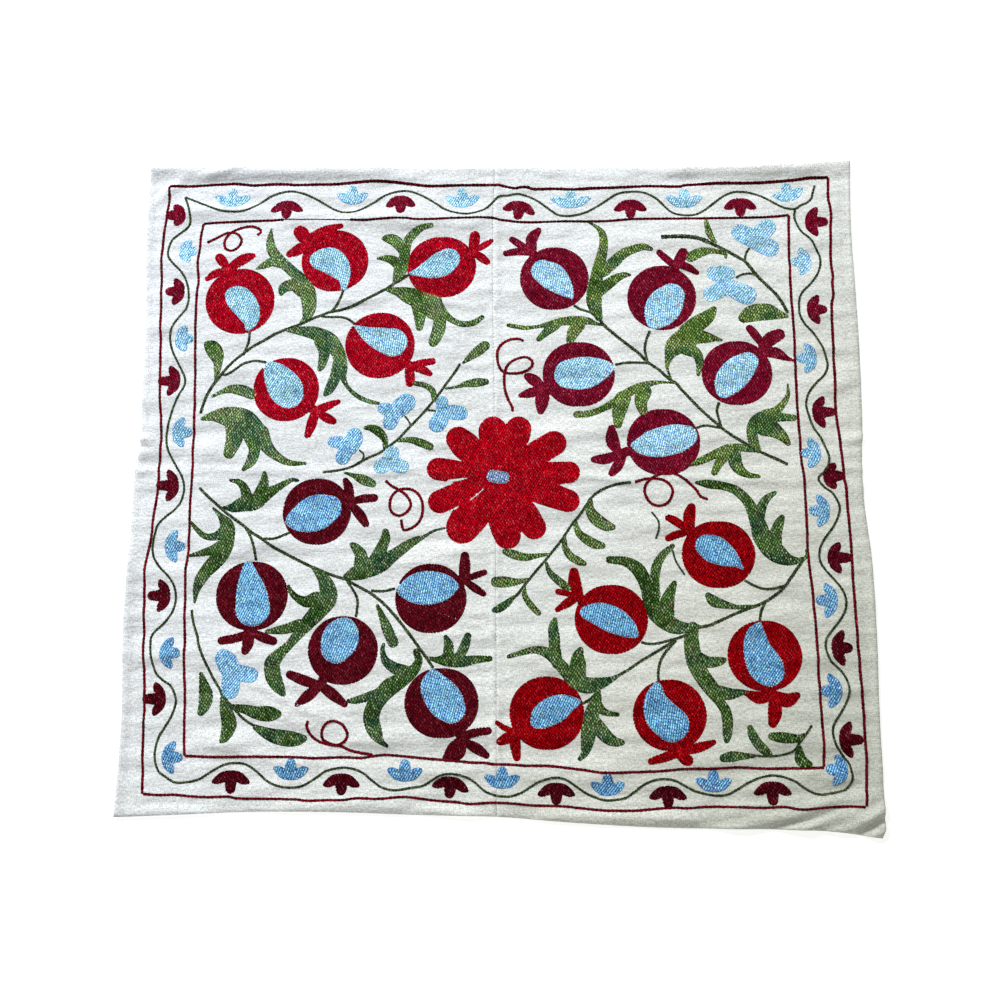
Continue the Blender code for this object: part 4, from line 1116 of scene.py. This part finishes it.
def chords(shape, v):
    """The stretches of one row that lie on the shape."""
    near = shape[np.abs(shape[:, 1] - v) < shape[:, 2]]
    if not len(near):
        return []
    half = np.sqrt(near[:, 2] ** 2 - (near[:, 1] - v) ** 2)
    merged = []
    for start, end in sorted(zip(near[:, 0] - half, near[:, 0] + half)):
        if merged and start <= merged[-1][1] + JOIN:
            merged[-1][1] = max(merged[-1][1], end)
        else:
            merged.append([start, end])
    return merged


def cut(stretches, gaps):
    """The stretches less the gaps."""
    for gap_start, gap_end in gaps:
        left = []
        for start, end in stretches:
            if gap_end <= start or gap_start >= end:
                left.append([start, end])
                continue
            if gap_start > start:
                left.append([start, gap_start])
            if gap_end < end:
                left.append([gap_end, end])
        stretches = left
    return stretches


class Work:
    """The stitches of one piece, gathered as points, faces and thread colours."""

    def __init__(self, name):
        self.name = name
        self.points = []
        self.faces = []
        self.colours = []

    def ground(self, x, y):
        """The cloth's face at a point; over the seam it is read past the rounded selvedge."""
        seam = along_edge(SEAM_LINE, y)
        side = -1 if x < seam else 1
        x = seam + side * max(abs(x - seam), SELVEDGE)
        hit = TREES[(side + 1) // 2].ray_cast(Vector((x, y, RAY_START)), Vector((0.0, 0.0, -1.0)))[0]
        return hit.z if hit is not None else height(x, y) + SLACK_LIFT + CLOTH_THICKNESS

    def add(self, x, y, rise, colour):
        self.points.append((x, y, self.ground(x, y) + rise))
        self.colours.append(colour)
        return len(self.points) - 1

    def strand(self, stations, way):
        """One laid strand along way, from (x, y, reach left, reach right, rise, side colour, top colour)."""
        before = None
        for x, y, left_half, right_half, rise, side, top in stations:
            left = self.add(x - way[1] * left_half, y + way[0] * left_half, LIFT, side)
            crest = self.add(x, y, rise, top)
            right = self.add(x + way[1] * right_half, y - way[0] * right_half, LIFT, side)
            if before is not None:
                self.faces.append((before[1], crest, left, before[0]))
                self.faces.append((before[2], right, crest, before[1]))
            else:
                self.faces.append((left, right, crest))
            before = (left, crest, right)
        self.faces.append((before[0], before[1], before[2]))

    def finish(self, material):
        mesh = bpy.data.meshes.new(self.name)
        mesh.from_pydata([place(*point) for point in self.points], [], self.faces)
        layer = mesh.color_attributes.new("thread", "FLOAT_COLOR", "POINT")
        flat = np.ones((len(self.colours), 4), dtype=np.float32)
        flat[:, :3] = self.colours
        layer.data.foreach_set("color", flat.ravel())
        mesh.materials.append(material)
        mesh.shade_smooth()
        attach(add_object(self.name, mesh), "root")


def plain_colours(thread, draw, tones=CROWN_TONES, shallow=0.0):
    """A function that gives the side and top colours of one station, which is a crown where it is raised;
    the sides take painted groove shade, a dip's top takes painted shade, and a crown's top now and then
    takes a painted highlight.
    """
    crown, groove_shade, speck_highlight = (linear(colour) for colour in thread[:3])

    def pick(x, y, raised):
        wide = 1.0 + TONE_CHANGE * noise.noise(Vector((x / TONE_LENGTH, y / TONE_LENGTH, TONE_LAYER)))
        side = mixed(groove_shade, crown, shallow * draw.random())
        edge = tuple(p * wide * draw.uniform(*GROOVE_TONES) for p in side)
        if not raised:
            return edge, tuple(p * wide for p in mixed(groove_shade, crown, draw.uniform(*DIP_SHADE_SHARES)))
        top = mixed(crown, speck_highlight, thread.speck_share * draw.random() ** 3 * HIGHLIGHT_STRENGTH)
        tone = wide * draw.uniform(*tones)
        return edge, tuple(min(1.0, p * tone) for p in top)

    return pick


def border_thread(upper, lower, y):
    """The thread of a lotus head by its y: the upper thread passes into the darker lower one down the cloth,
    as painted shade.
    """
    share = min(SHADE_FADE_MOST, max(0.0, (SHADE_FADE_TOP - y) / SHADE_FADE_LENGTH))
    a, b = THREADS[upper], THREADS[lower]
    return Thread(*(mixed(p, q, share) for p, q in zip(a[:3], b[:3])), a.speck_share)


def leaf_colours(draw, offset, shade):
    """Leaf greens that change slowly across the leaf, as a space-dyed thread does, with painted shade in the
    grooves and dips and now and then a painted highlight on a crown.
    """
    greens = [tuple(p * part for p, part in zip(linear(colour), shade)) for colour in LEAF_GREENS]
    pale = linear(LEAF_SPECK_HIGHLIGHT)

    def pick(x, y, raised):
        level = noise.noise(Vector((x / LEAF_CHANGE + offset, y / LEAF_CHANGE, LEAF_LAYER)))
        level = level * LEAF_SPREAD + LEAF_MIDDLE + (draw.random() - 0.5) * LEAF_JUMP
        level = min(len(greens) - 1.001, max(0.0, level))
        i = int(level)
        top = mixed(greens[i], greens[i + 1], level - i)
        edge = tuple(p * LEAF_GROOVE_SHADE * draw.uniform(*LEAF_GROOVE_TONES) for p in top)
        if not raised:
            return edge, tuple(p * draw.uniform(*LEAF_DIP_TONES) for p in top)
        tone = draw.uniform(*LEAF_CROWN_TONES)
        return edge, mixed(tuple(p * tone for p in top), pale, LEAF_HIGHLIGHT_SHARE * draw.random() ** 4)

    return pick


def fill(work, strokes, degrees, pick, draw, holes=None, grow=EDGE_GROW):
    """Laid rows over the strokes' shape, less the holes; each row's sides follow the outline."""
    angle = math.radians(degrees)
    way = (math.cos(angle), math.sin(angle))
    body = discs(strokes, grow)
    shape, shape_across = turned(body, angle), turned(body, angle + math.pi / 2)
    gaps = gaps_across = None
    if holes is not None:
        opening = discs(holes, HOLE_GROW)
        gaps, gaps_across = turned(opening, angle), turned(opening, angle + math.pi / 2)

    def stretches_at(solid, open_part, v):
        """The stretches of one row that are covered."""
        found = chords(solid, v)
        return found if open_part is None else cut(found, chords(open_part, v))

    def turned_back(u, v):
        """The point that lies at u along the rows and v across them."""
        return u * way[0] - v * way[1], u * way[1] + v * way[0]

    def station(u, v, half, rise, colours):
        """One station of a row, its sides drawn in or let out where the outline lies within a pitch."""
        above = below = BARE_REACH
        for low_end, high_end in stretches_at(shape_across, gaps_across, -u):
            if low_end - OUTLINE_PAST <= v <= high_end + OUTLINE_PAST:
                above = high_end - v if high_end - v < ROW_PITCH else half
                below = v - low_end if v - low_end < ROW_PITCH else half
        above, below = max(LEAST_REACH, above), max(LEAST_REACH, below)
        crest = v + (above - below) * CREST_SHIFT
        return (*turned_back(u, crest), v + above - crest, crest - v + below, rise, *colours)

    def marks_between(start, end, phase):
        """The crowns and dips of one stretch of a row: how far along, rise, and whether raised."""
        inset = min(END_INSET, (end - start) / 3)
        marks = [(start + inset, END_RISE, False), (end - inset, END_RISE, False)]
        m = math.ceil((start - phase) / (STITCH_LENGTH / 2))
        while m * STITCH_LENGTH / 2 + phase < end:
            u = m * STITCH_LENGTH / 2 + phase + draw.uniform(-MARK_SPREAD, MARK_SPREAD)
            if start + inset + MARK_SPREAD < u < end - inset - MARK_SPREAD:
                raised = m % 2 == 0
                marks.append((u, CROWN_RISE * draw.uniform(*CROWN_SPREAD) if raised else DIP_RISE, raised))
            m += 1
        return [(start, LIFT, False)] + sorted(marks) + [(end, LIFT, False)]

    low = float((shape[:, 1] - shape[:, 2]).min())
    high = float((shape[:, 1] + shape[:, 2]).max())
    for k in range(int(low // ROW_PITCH), int(high // ROW_PITCH) + 1):
        v = (k + 0.5) * ROW_PITCH
        stretches = stretches_at(shape, gaps, v)
        phase = draw.uniform(0.0, STITCH_LENGTH)
        for start, end in stretches:
            if end - start < SHORTEST_ROW:
                continue
            stations = []
            for u, rise, raised in marks_between(start, end, phase):
                half = ROW_PITCH * (CROWN_HALF if raised else DIP_HALF)
                stations.append(station(u, v, half, rise, pick(*turned_back(u, v), raised)))
            work.strand(stations, way)


def chain(work, points, width, pick, draw, link):
    """Chain stitch along a line: each link is a pair of rounded grains set in a narrow V."""
    path = np.array(spline(points, CHAIN_STEP))
    runs = [0.0]
    for a, b in zip(path, path[1:]):
        runs.append(runs[-1] + math.hypot(*(b - a)[:2]))
    total = runs[-1]
    count = max(1, round(total / link))
    step = total / count

    def spot(s):
        """The point that far along the line."""
        s = min(total, max(0.0, s))
        return np.interp(s, runs, path[:, 0]), np.interp(s, runs, path[:, 1])

    def at(s):
        """The point that far along the line, and the way that the line runs there."""
        s = min(total, max(0.0, s))
        (x1, y1), (x2, y2) = spot(s - CHAIN_LOOK), spot(s + CHAIN_LOOK)
        length = math.hypot(x2 - x1, y2 - y1)
        return *spot(s), (x2 - x1) / length, (y2 - y1) / length

    for k in range(count):
        base = total * k / count
        for side in (-1, 1):
            drift = draw.uniform(-LINK_DRIFT, LINK_DRIFT) * width
            stations = []
            for grain in LINK_GRAINS:
                x, y, run_x, run_y = at(base + grain.along * step)
                shift = side * grain.off * width + drift
                colours = pick(x, y, grain.rise > DIP_RISE)
                half = grain.half * width
                stations.append((x - run_y * shift, y + run_x * shift, half, half, grain.rise, *colours))
            work.strand(stations, at(base + 0.5 * step)[2:])


class Surface:
    """One material, whose nodes are linked as they are added."""

    def __init__(self, name, roughness, specular):
        self.material = bpy.data.materials.new(name)
        self.material.use_nodes = True
        self.tree = self.material.node_tree
        self.shader = self.tree.nodes["Principled BSDF"]
        self.shader.inputs["Roughness"].default_value = roughness
        self.shader.inputs["Specular IOR Level"].default_value = specular
        self.where = self.tree.nodes.new("ShaderNodeTexCoord").outputs["Object"]

    def add(self, kind, fixed, linked, **settings):
        """A node with these settings, fixed socket values and linked sockets."""
        node = self.tree.nodes.new("ShaderNode" + kind)
        for setting, value in settings.items():
            setattr(node, setting, value)
        for socket, value in fixed.items():
            node.inputs[socket].default_value = value
        for socket, source in linked.items():
            self.tree.links.new(source, node.inputs[socket])
        return node

    def noise(self, scale, detail):
        """Noise stretched by a scale in each direction."""
        mapping = self.add("Mapping", {"Scale": scale}, {"Vector": self.where})
        fixed = {"Scale": 1.0, "Detail": detail}
        return self.add("TexNoise", fixed, {"Vector": mapping.outputs["Vector"]}).outputs["Fac"]

    def ramp(self, level, stops):
        """A colour ramp through these stops, its two ends first."""
        node = self.add("ValToRGB", {}, {"Fac": level})
        for k, (at, colour) in enumerate(stops):
            stop = node.color_ramp.elements[k] if k < 2 else node.color_ramp.elements.new(at)
            stop.position = at
            stop.color = (*colour, 1.0)
        return node.outputs["Color"]

    def multiplied(self, a, b):
        linked = {"A": a, "B": b}
        node = self.add("Mix", {"Factor": 1.0}, linked, data_type="RGBA", blend_type="MULTIPLY")
        return node.outputs["Result"]

    def bump(self, level, relief, **under):
        return self.add("Bump", relief, {"Height": level, **under}).outputs["Normal"]

    def finish(self, colour, normal):
        self.tree.links.new(colour, self.shader.inputs["Base Color"])
        self.tree.links.new(normal, self.shader.inputs["Normal"])
        return self.material


def cotton_material():
    """Hand-loomed cotton: a plain weave with thick and thin weft, a little dinge, yellowed, and with painted
    shade that darkens it towards the lower right.
    """
    cotton = Surface("cotton_cloth", COTTON_ROUGHNESS, COTTON_SHINE)
    weft, warp = cotton.noise(WEFT_SCALE, 1.0), cotton.noise(WARP_SCALE, 1.0)
    threads = cotton.add("Math", {}, {0: weft, 1: warp}, operation="ADD").outputs["Value"]
    halved = cotton.add("Math", {1: 0.5}, {0: threads}, operation="MULTIPLY").outputs["Value"]
    dinge = cotton.ramp(cotton.noise(DINGE_SCALE, 3.0), DINGE_TONES)
    woven = cotton.multiplied(cotton.ramp(halved, WEAVE_TONES), dinge)
    # Yellowing and painted shade, darker towards the lower right, along one way across the cloth
    slope = cotton.add("VectorMath", {1: YELLOWING_AND_SHADE_WAY}, {0: cotton.where}, operation="DOT_PRODUCT")
    reach = {"From Min": -YELLOWING_AND_SHADE_REACH, "From Max": YELLOWING_AND_SHADE_REACH}
    yellowing_and_shade = cotton.add("MapRange", reach, {"Value": slope.outputs["Value"]}).outputs["Result"]
    crumple = cotton.bump(cotton.noise(CRUMPLE_SCALE, 2.0), CRUMPLE_RELIEF)
    return cotton.finish(cotton.multiplied(woven, cotton.ramp(yellowing_and_shade, YELLOWING_AND_PAINTED_SHADE)),
                         cotton.bump(threads, WEAVE_RELIEF, Normal=crumple))


def thread_material(name, roughness):
    """Twisted embroidery thread in the colour painted on each stitch."""
    thread = Surface(name, roughness, specular=0.0)
    painted = thread.add("Attribute", {}, {}, attribute_name="thread").outputs["Color"]
    fixed = {"Scale": GRAIN_SCALE, "Detail": 1.0}
    grain = thread.add("TexNoise", fixed, {"Vector": thread.where}).outputs["Fac"]
    level = thread.add("MapRange", GRAIN_TONES, {"Value": grain}).outputs["Result"]
    shade = thread.add("VectorMath", {}, {0: painted, "Scale": level}, operation="SCALE").outputs["Vector"]
    return thread.finish(shade, thread.bump(grain, GRAIN_RELIEF))


def lotus_strokes(head):
    """The wings and the foot of one lotus head."""
    angle = math.radians(head.foot_way)

    def spot(across, out, width):
        x = head.x + out * math.cos(angle) - across * math.sin(angle)
        y = head.y + out * math.sin(angle) + across * math.cos(angle)
        return (x, y, width)

    half = [(head.half_span - LOTUS_INSET, *LOTUS_TIP)]
    half += [(head.half_span * share, out, width) for share, out, width in LOTUS_WING]
    wings = [spot(-across, out, width) for across, out, width in half] + [spot(*row) for row in half[-2::-1]]
    foot = [spot(0, out, width) for out, width in [*LOTUS_FOOT, (head.foot, LOTUS_FOOT_END)]]
    return [wings, foot]


def petal(tip):
    """One petal of the centre flower: narrow at the middle, widest at its belly, round at the tip."""
    mx, my = FLOWER_MIDDLE
    reach = math.hypot(tip.x - mx, tip.y - my)
    run_x, run_y = (tip.x - mx) / reach, (tip.y - my) / reach
    stops = [*PETAL_NECK, (PETAL_SHOULDER, tip.belly - SHOULDER_LESS), (PETAL_BELLY, tip.belly),
             (reach, 2 * tip.radius)]
    return [(mx + run_x * out, my + run_y * out, width) for out, width in stops]


def add_filled(name, strokes, degrees, pick, draw, silk, holes=None):
    """One piece of laid stitches over the strokes' shape."""
    work = Work(name)
    fill(work, strokes, degrees, pick, draw, holes)
    work.finish(silk)


def add_chained(name, runs, thread, tones, link, draw, silk):
    """One piece of chain stitch, along runs that each have a width and points."""
    work = Work(name)
    pick = plain_colours(THREADS[thread], draw, tones)
    for width, points in runs:
        chain(work, points, width, pick, draw, link)
    work.finish(silk)


def add_fruits(draw, silk):
    """The pomegranates: a rind with its crown round a heart of another thread."""
    for corner, fruits in FRUITS.items():
        skin = plain_colours(THREADS[FRUIT_THREADS[corner]], draw, shallow=RED_SHALLOW)
        inside = plain_colours(THREADS[HEART_THREADS[corner]], draw)
        for i, fruit in enumerate(fruits, 1):
            more = max(LEAST_STRETCH, fruit.half_width - fruit.half_height)
            body = [(fruit.x + shift, fruit.y, 2 * fruit.half_height) for shift in (-more, more)]
            roots = [stroke[0] for stroke in fruit.petals]
            root_x, root_y = (sum(root[k] for root in roots) / len(roots) for k in (0, 1))
            neck_x = fruit.x + (root_x - fruit.x) * NECK_FROM
            neck_y = fruit.y + (root_y - fruit.y) * NECK_FROM
            neck = [(neck_x, neck_y, NECK_WIDTH + NECK_MORE), (root_x, root_y, NECK_WIDTH)]
            rind = Work(f"fruit_{corner}_{i}")
            fill(rind, [body, neck], draw.uniform(*RIND_WAYS), skin, draw, holes=[fruit.heart])
            for stroke in fruit.petals:
                fill(rind, [stroke], draw.uniform(*CROWN_WAYS), skin, draw, grow=PETAL_GROW)
            rind.finish(silk)
            add_filled(f"heart_{corner}_{i}", [fruit.heart], draw.uniform(*HEART_WAYS), inside, draw, silk)


def add_flower(draw, silk):
    """The large flower in the middle, with its blue patch."""
    mx, my = FLOWER_MIDDLE
    middle = [(mx + ROUND_LEFT, my, ROUND_WIDTH), (mx + ROUND_RIGHT, my, ROUND_WIDTH)]
    strokes = [petal(tip) for tip in FLOWER_TIPS] + [middle]
    red = plain_colours(THREADS["flower_red"], draw, shallow=RED_SHALLOW)
    add_filled("flower_centre", strokes, FLOWER_WAY, red, draw, silk, holes=[FLOWER_HEART, *FLOWER_SLITS])
    blue = plain_colours(THREADS["grey_blue"], draw)
    add_filled("flower_centre_middle", [FLOWER_HEART], FLOWER_HEART_WAY, blue, draw, silk)


def add_blue_flowers(draw, silk):
    for i, (strokes, thread) in enumerate(zip(BLUE_FLOWERS, BLUE_FLOWER_THREADS), 1):
        blue = plain_colours(THREADS[thread], draw)
        add_filled(f"blue_flower_{i}", strokes, draw.uniform(*BLUE_FLOWER_WAYS), blue, draw, silk)


def add_leaves(draw, silk):
    for corner, leaves in LEAVES.items():
        for i, strokes in enumerate(leaves, 1):
            greens = leaf_colours(draw, i * LEAF_OFFSET, LEAF_SHADES[corner])
            add_filled(f"leaf_{corner}_{i}", strokes, draw.uniform(*LEAF_WAYS), greens, draw, silk)


def inner_runs(side):
    """The runs of an inner line; the top one is thin where a fold all but hides it."""
    points = INNER_LINE[side]
    if side != "top":
        return [(INNER_WIDTH, points)]
    return [(INNER_WIDTH, points[:HIDDEN_FROM + 1]), (HIDDEN_WIDTH, points[HIDDEN_FROM:HIDDEN_TO + 1]),
            (INNER_WIDTH, points[HIDDEN_TO:])]


def add_border(draw, silk):
    """Each side's lotus heads, its vine and its two frame lines."""
    # Each lotus colour's thread at the top, and the darker one that it passes into lower down as painted
    # shade
    heads = (("red", RED_LOTUSES, "wine", "bottom_red", RED_SHALLOW),
             ("blue", BLUE_LOTUSES, "pale_blue", "bottom_blue", 0.0))
    for side in ("top", "right", "bottom", "left"):
        for colour, rows, upper, lower, shallow in heads:
            work = Work(f"lotus_{colour}_{side}")
            for head in [LotusHead(*row) for row in rows[side]]:
                pick = plain_colours(border_thread(upper, lower, head.y), draw, shallow=shallow)
                fill(work, lotus_strokes(head), draw.uniform(*LOTUS_WAYS), pick, draw)
            work.finish(silk)
        vine = [(VINE_WIDTH, VINE[side])]
        add_chained(f"vine_{side}", vine, "stem_green", STEM_TONES, STEM_LINK, draw, silk)
        for name, runs in (("outer", [(OUTER_WIDTHS[side], OUTER_LINE[side])]), ("inner", inner_runs(side))):
            add_chained(f"line_{name}_{side}", runs, LINE_THREADS[side], LINE_TONES, LINE_LINK, draw, silk)


def add_embroidery():
    """All the needlework, in the order that its random draws are made."""
    silk = thread_material("silk_thread", SILK_ROUGHNESS)
    draw = random.Random(EMBROIDERY_SEED)
    add_fruits(draw, silk)
    add_flower(draw, silk)
    add_blue_flowers(draw, silk)
    add_leaves(draw, silk)
    add_border(draw, silk)
    for corner, stems in STEMS.items():
        add_chained(f"stems_{corner}", stems, "stem_green", STEM_TONES, STEM_LINK, draw, silk)
    for i, points in enumerate(CURLS, 1):
        add_chained(f"curl_{i}", [(CURL_WIDTH, points)], "curl_red", LINE_TONES, CURL_LINK, draw, silk)


def sew(work, pick, form, x, y, reach, way):
    """One short plain stitch over a point."""
    side, top = pick(x, y, True)
    ends = (form.end_half, form.end_half, form.end_rise, side, side)
    work.strand([(x - reach[0], y - reach[1], *ends), (x, y, form.half, form.half, form.rise, side, top),
                 (x + reach[0], y + reach[1], *ends)], way)


def hem_places(start, end, draw):
    """Places along an edge, about one stitch of the hem apart."""
    at = start
    while at < end:
        yield at
        at += HEM_PITCH + draw.uniform(-HEM_PITCH_SPREAD, HEM_PITCH_SPREAD)


def add_sewing():
    """The plain thread that joins the strips and holds the hem down."""
    cream = thread_material("sewing_thread", SEWING_ROUGHNESS)
    draw = random.Random(SEWING_SEED)
    pick = plain_colours(SEWING_THREAD, draw)
    seam = Work("seam_stitches")
    y = SEAM_FROM
    while y < SEAM_TO:
        if any(low < y < high for low, high in SEAM_COVERED):
            y += SEAM_PITCH
            continue
        sew(seam, pick, SEAM_SEWN, along_edge(SEAM_LINE, y), y, SEAM_STITCH, SEAM_WAY)
        y += SEAM_PITCH + draw.uniform(-SEAM_PITCH_SPREAD, SEAM_PITCH_SPREAD)
    hem = Work("hem_stitches")
    for edge, inset in ((LEFT_EDGE, HEM_INSET), (RIGHT_EDGE, -HEM_INSET)):
        for y in hem_places(*HEM_ALONG_Y, draw):
            sew(hem, pick, HEM_SEWN, along_edge(edge, y) + inset, y, (0.0, HEM_STITCH), (0.0, 1.0))
    for edge, inset in ((BOTTOM_EDGE, HEM_INSET), (TOP_EDGE, -HEM_INSET)):
        for x in hem_places(*HEM_ALONG_X, draw):
            sew(hem, pick, HEM_SEWN, x, along_edge(edge, x) + inset, (HEM_STITCH, 0.0), (1.0, 0.0))
    seam.finish(cream)
    hem.finish(cream)


def add_light():
    """One soft light from the far left."""
    data = bpy.data.lights.new("light_far_left", "AREA")
    data.energy = LIGHT_WATTS
    data.size = LIGHT_SIZE
    data.color = LIGHT_COLOUR
    light = bpy.data.objects.new("light_far_left", data)
    light.location = LIGHT_PLACE
    light.rotation_euler = (-Vector(LIGHT_PLACE)).to_track_quat("-Z", "Y").to_euler()
    bpy.context.scene.collection.objects.link(light)


def add_stage():
    """A plain pale floor and a pale room."""
    mesh = bmesh.new()
    bmesh.ops.create_grid(mesh, x_segments=2, y_segments=2, size=FLOOR_HALF)
    data = bpy.data.meshes.new("floor")
    mesh.to_mesh(data)
    mesh.free()
    material = bpy.data.materials.new("floor_white")
    material.use_nodes = True
    shader = material.node_tree.nodes["Principled BSDF"]
    shader.inputs["Base Color"].default_value = FLOOR_COLOUR
    shader.inputs["Roughness"].default_value = FLOOR_ROUGHNESS
    shader.inputs["Emission Color"].default_value = (1.0, 1.0, 1.0, 1.0)
    shader.inputs["Emission Strength"].default_value = FLOOR_GLOW
    data.materials.append(material)
    add_object("floor", data)
    world = bpy.data.worlds.new("studio")
    world.use_nodes = True
    world.node_tree.nodes["Background"].inputs["Color"].default_value = ROOM_COLOUR
    world.node_tree.nodes["Background"].inputs["Strength"].default_value = ROOM_STRENGTH
    bpy.context.scene.world = world
    add_light()
    bpy.context.scene.view_settings.view_transform = "Standard"


def add_camera():
    """The photograph's camera: nearly overhead, a little from the near side."""
    tilt, side, roll = (math.radians(degrees) for degrees in (CAMERA_TILT, CAMERA_SIDE, CAMERA_ROLL))
    back = Vector((math.sin(side), -math.sin(tilt) * math.cos(side), math.cos(tilt) * math.cos(side)))
    back.normalize()
    right = Vector((0.0, 1.0, 0.0)).cross(back).normalized()
    up = back.cross(right)
    across = right * math.cos(roll) + up * math.sin(roll)
    upward = up * math.cos(roll) - right * math.sin(roll)
    data = bpy.data.cameras.new("camera")
    data.lens = CAMERA_LENS
    data.sensor_width = CAMERA_SENSOR
    camera = bpy.data.objects.new("camera", data)
    position = Vector(CAMERA_TARGET) + back * CAMERA_DISTANCE
    bpy.context.scene.collection.objects.link(camera)
    camera.matrix_world = Matrix((
        (across.x, upward.x, back.x, position.x),
        (across.y, upward.y, back.y, position.y),
        (across.z, upward.z, back.z, position.z),
        (0.0, 0.0, 0.0, 1.0),
    ))
    bpy.context.scene.camera = camera


add_camera()
COTTON = cotton_material()
cloth_left, tree_left = add_cloth("cloth_left", LEFT_EDGE, -1)
cloth_right, tree_right = add_cloth("cloth_right", RIGHT_EDGE, 1)
TREES = (tree_left, tree_right)
for cloth, node in ((cloth_left, "panel_left"), (cloth_right, "panel_right")):
    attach(cloth, "root")
    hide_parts(node)
add_embroidery()
add_sewing()
add_stage()
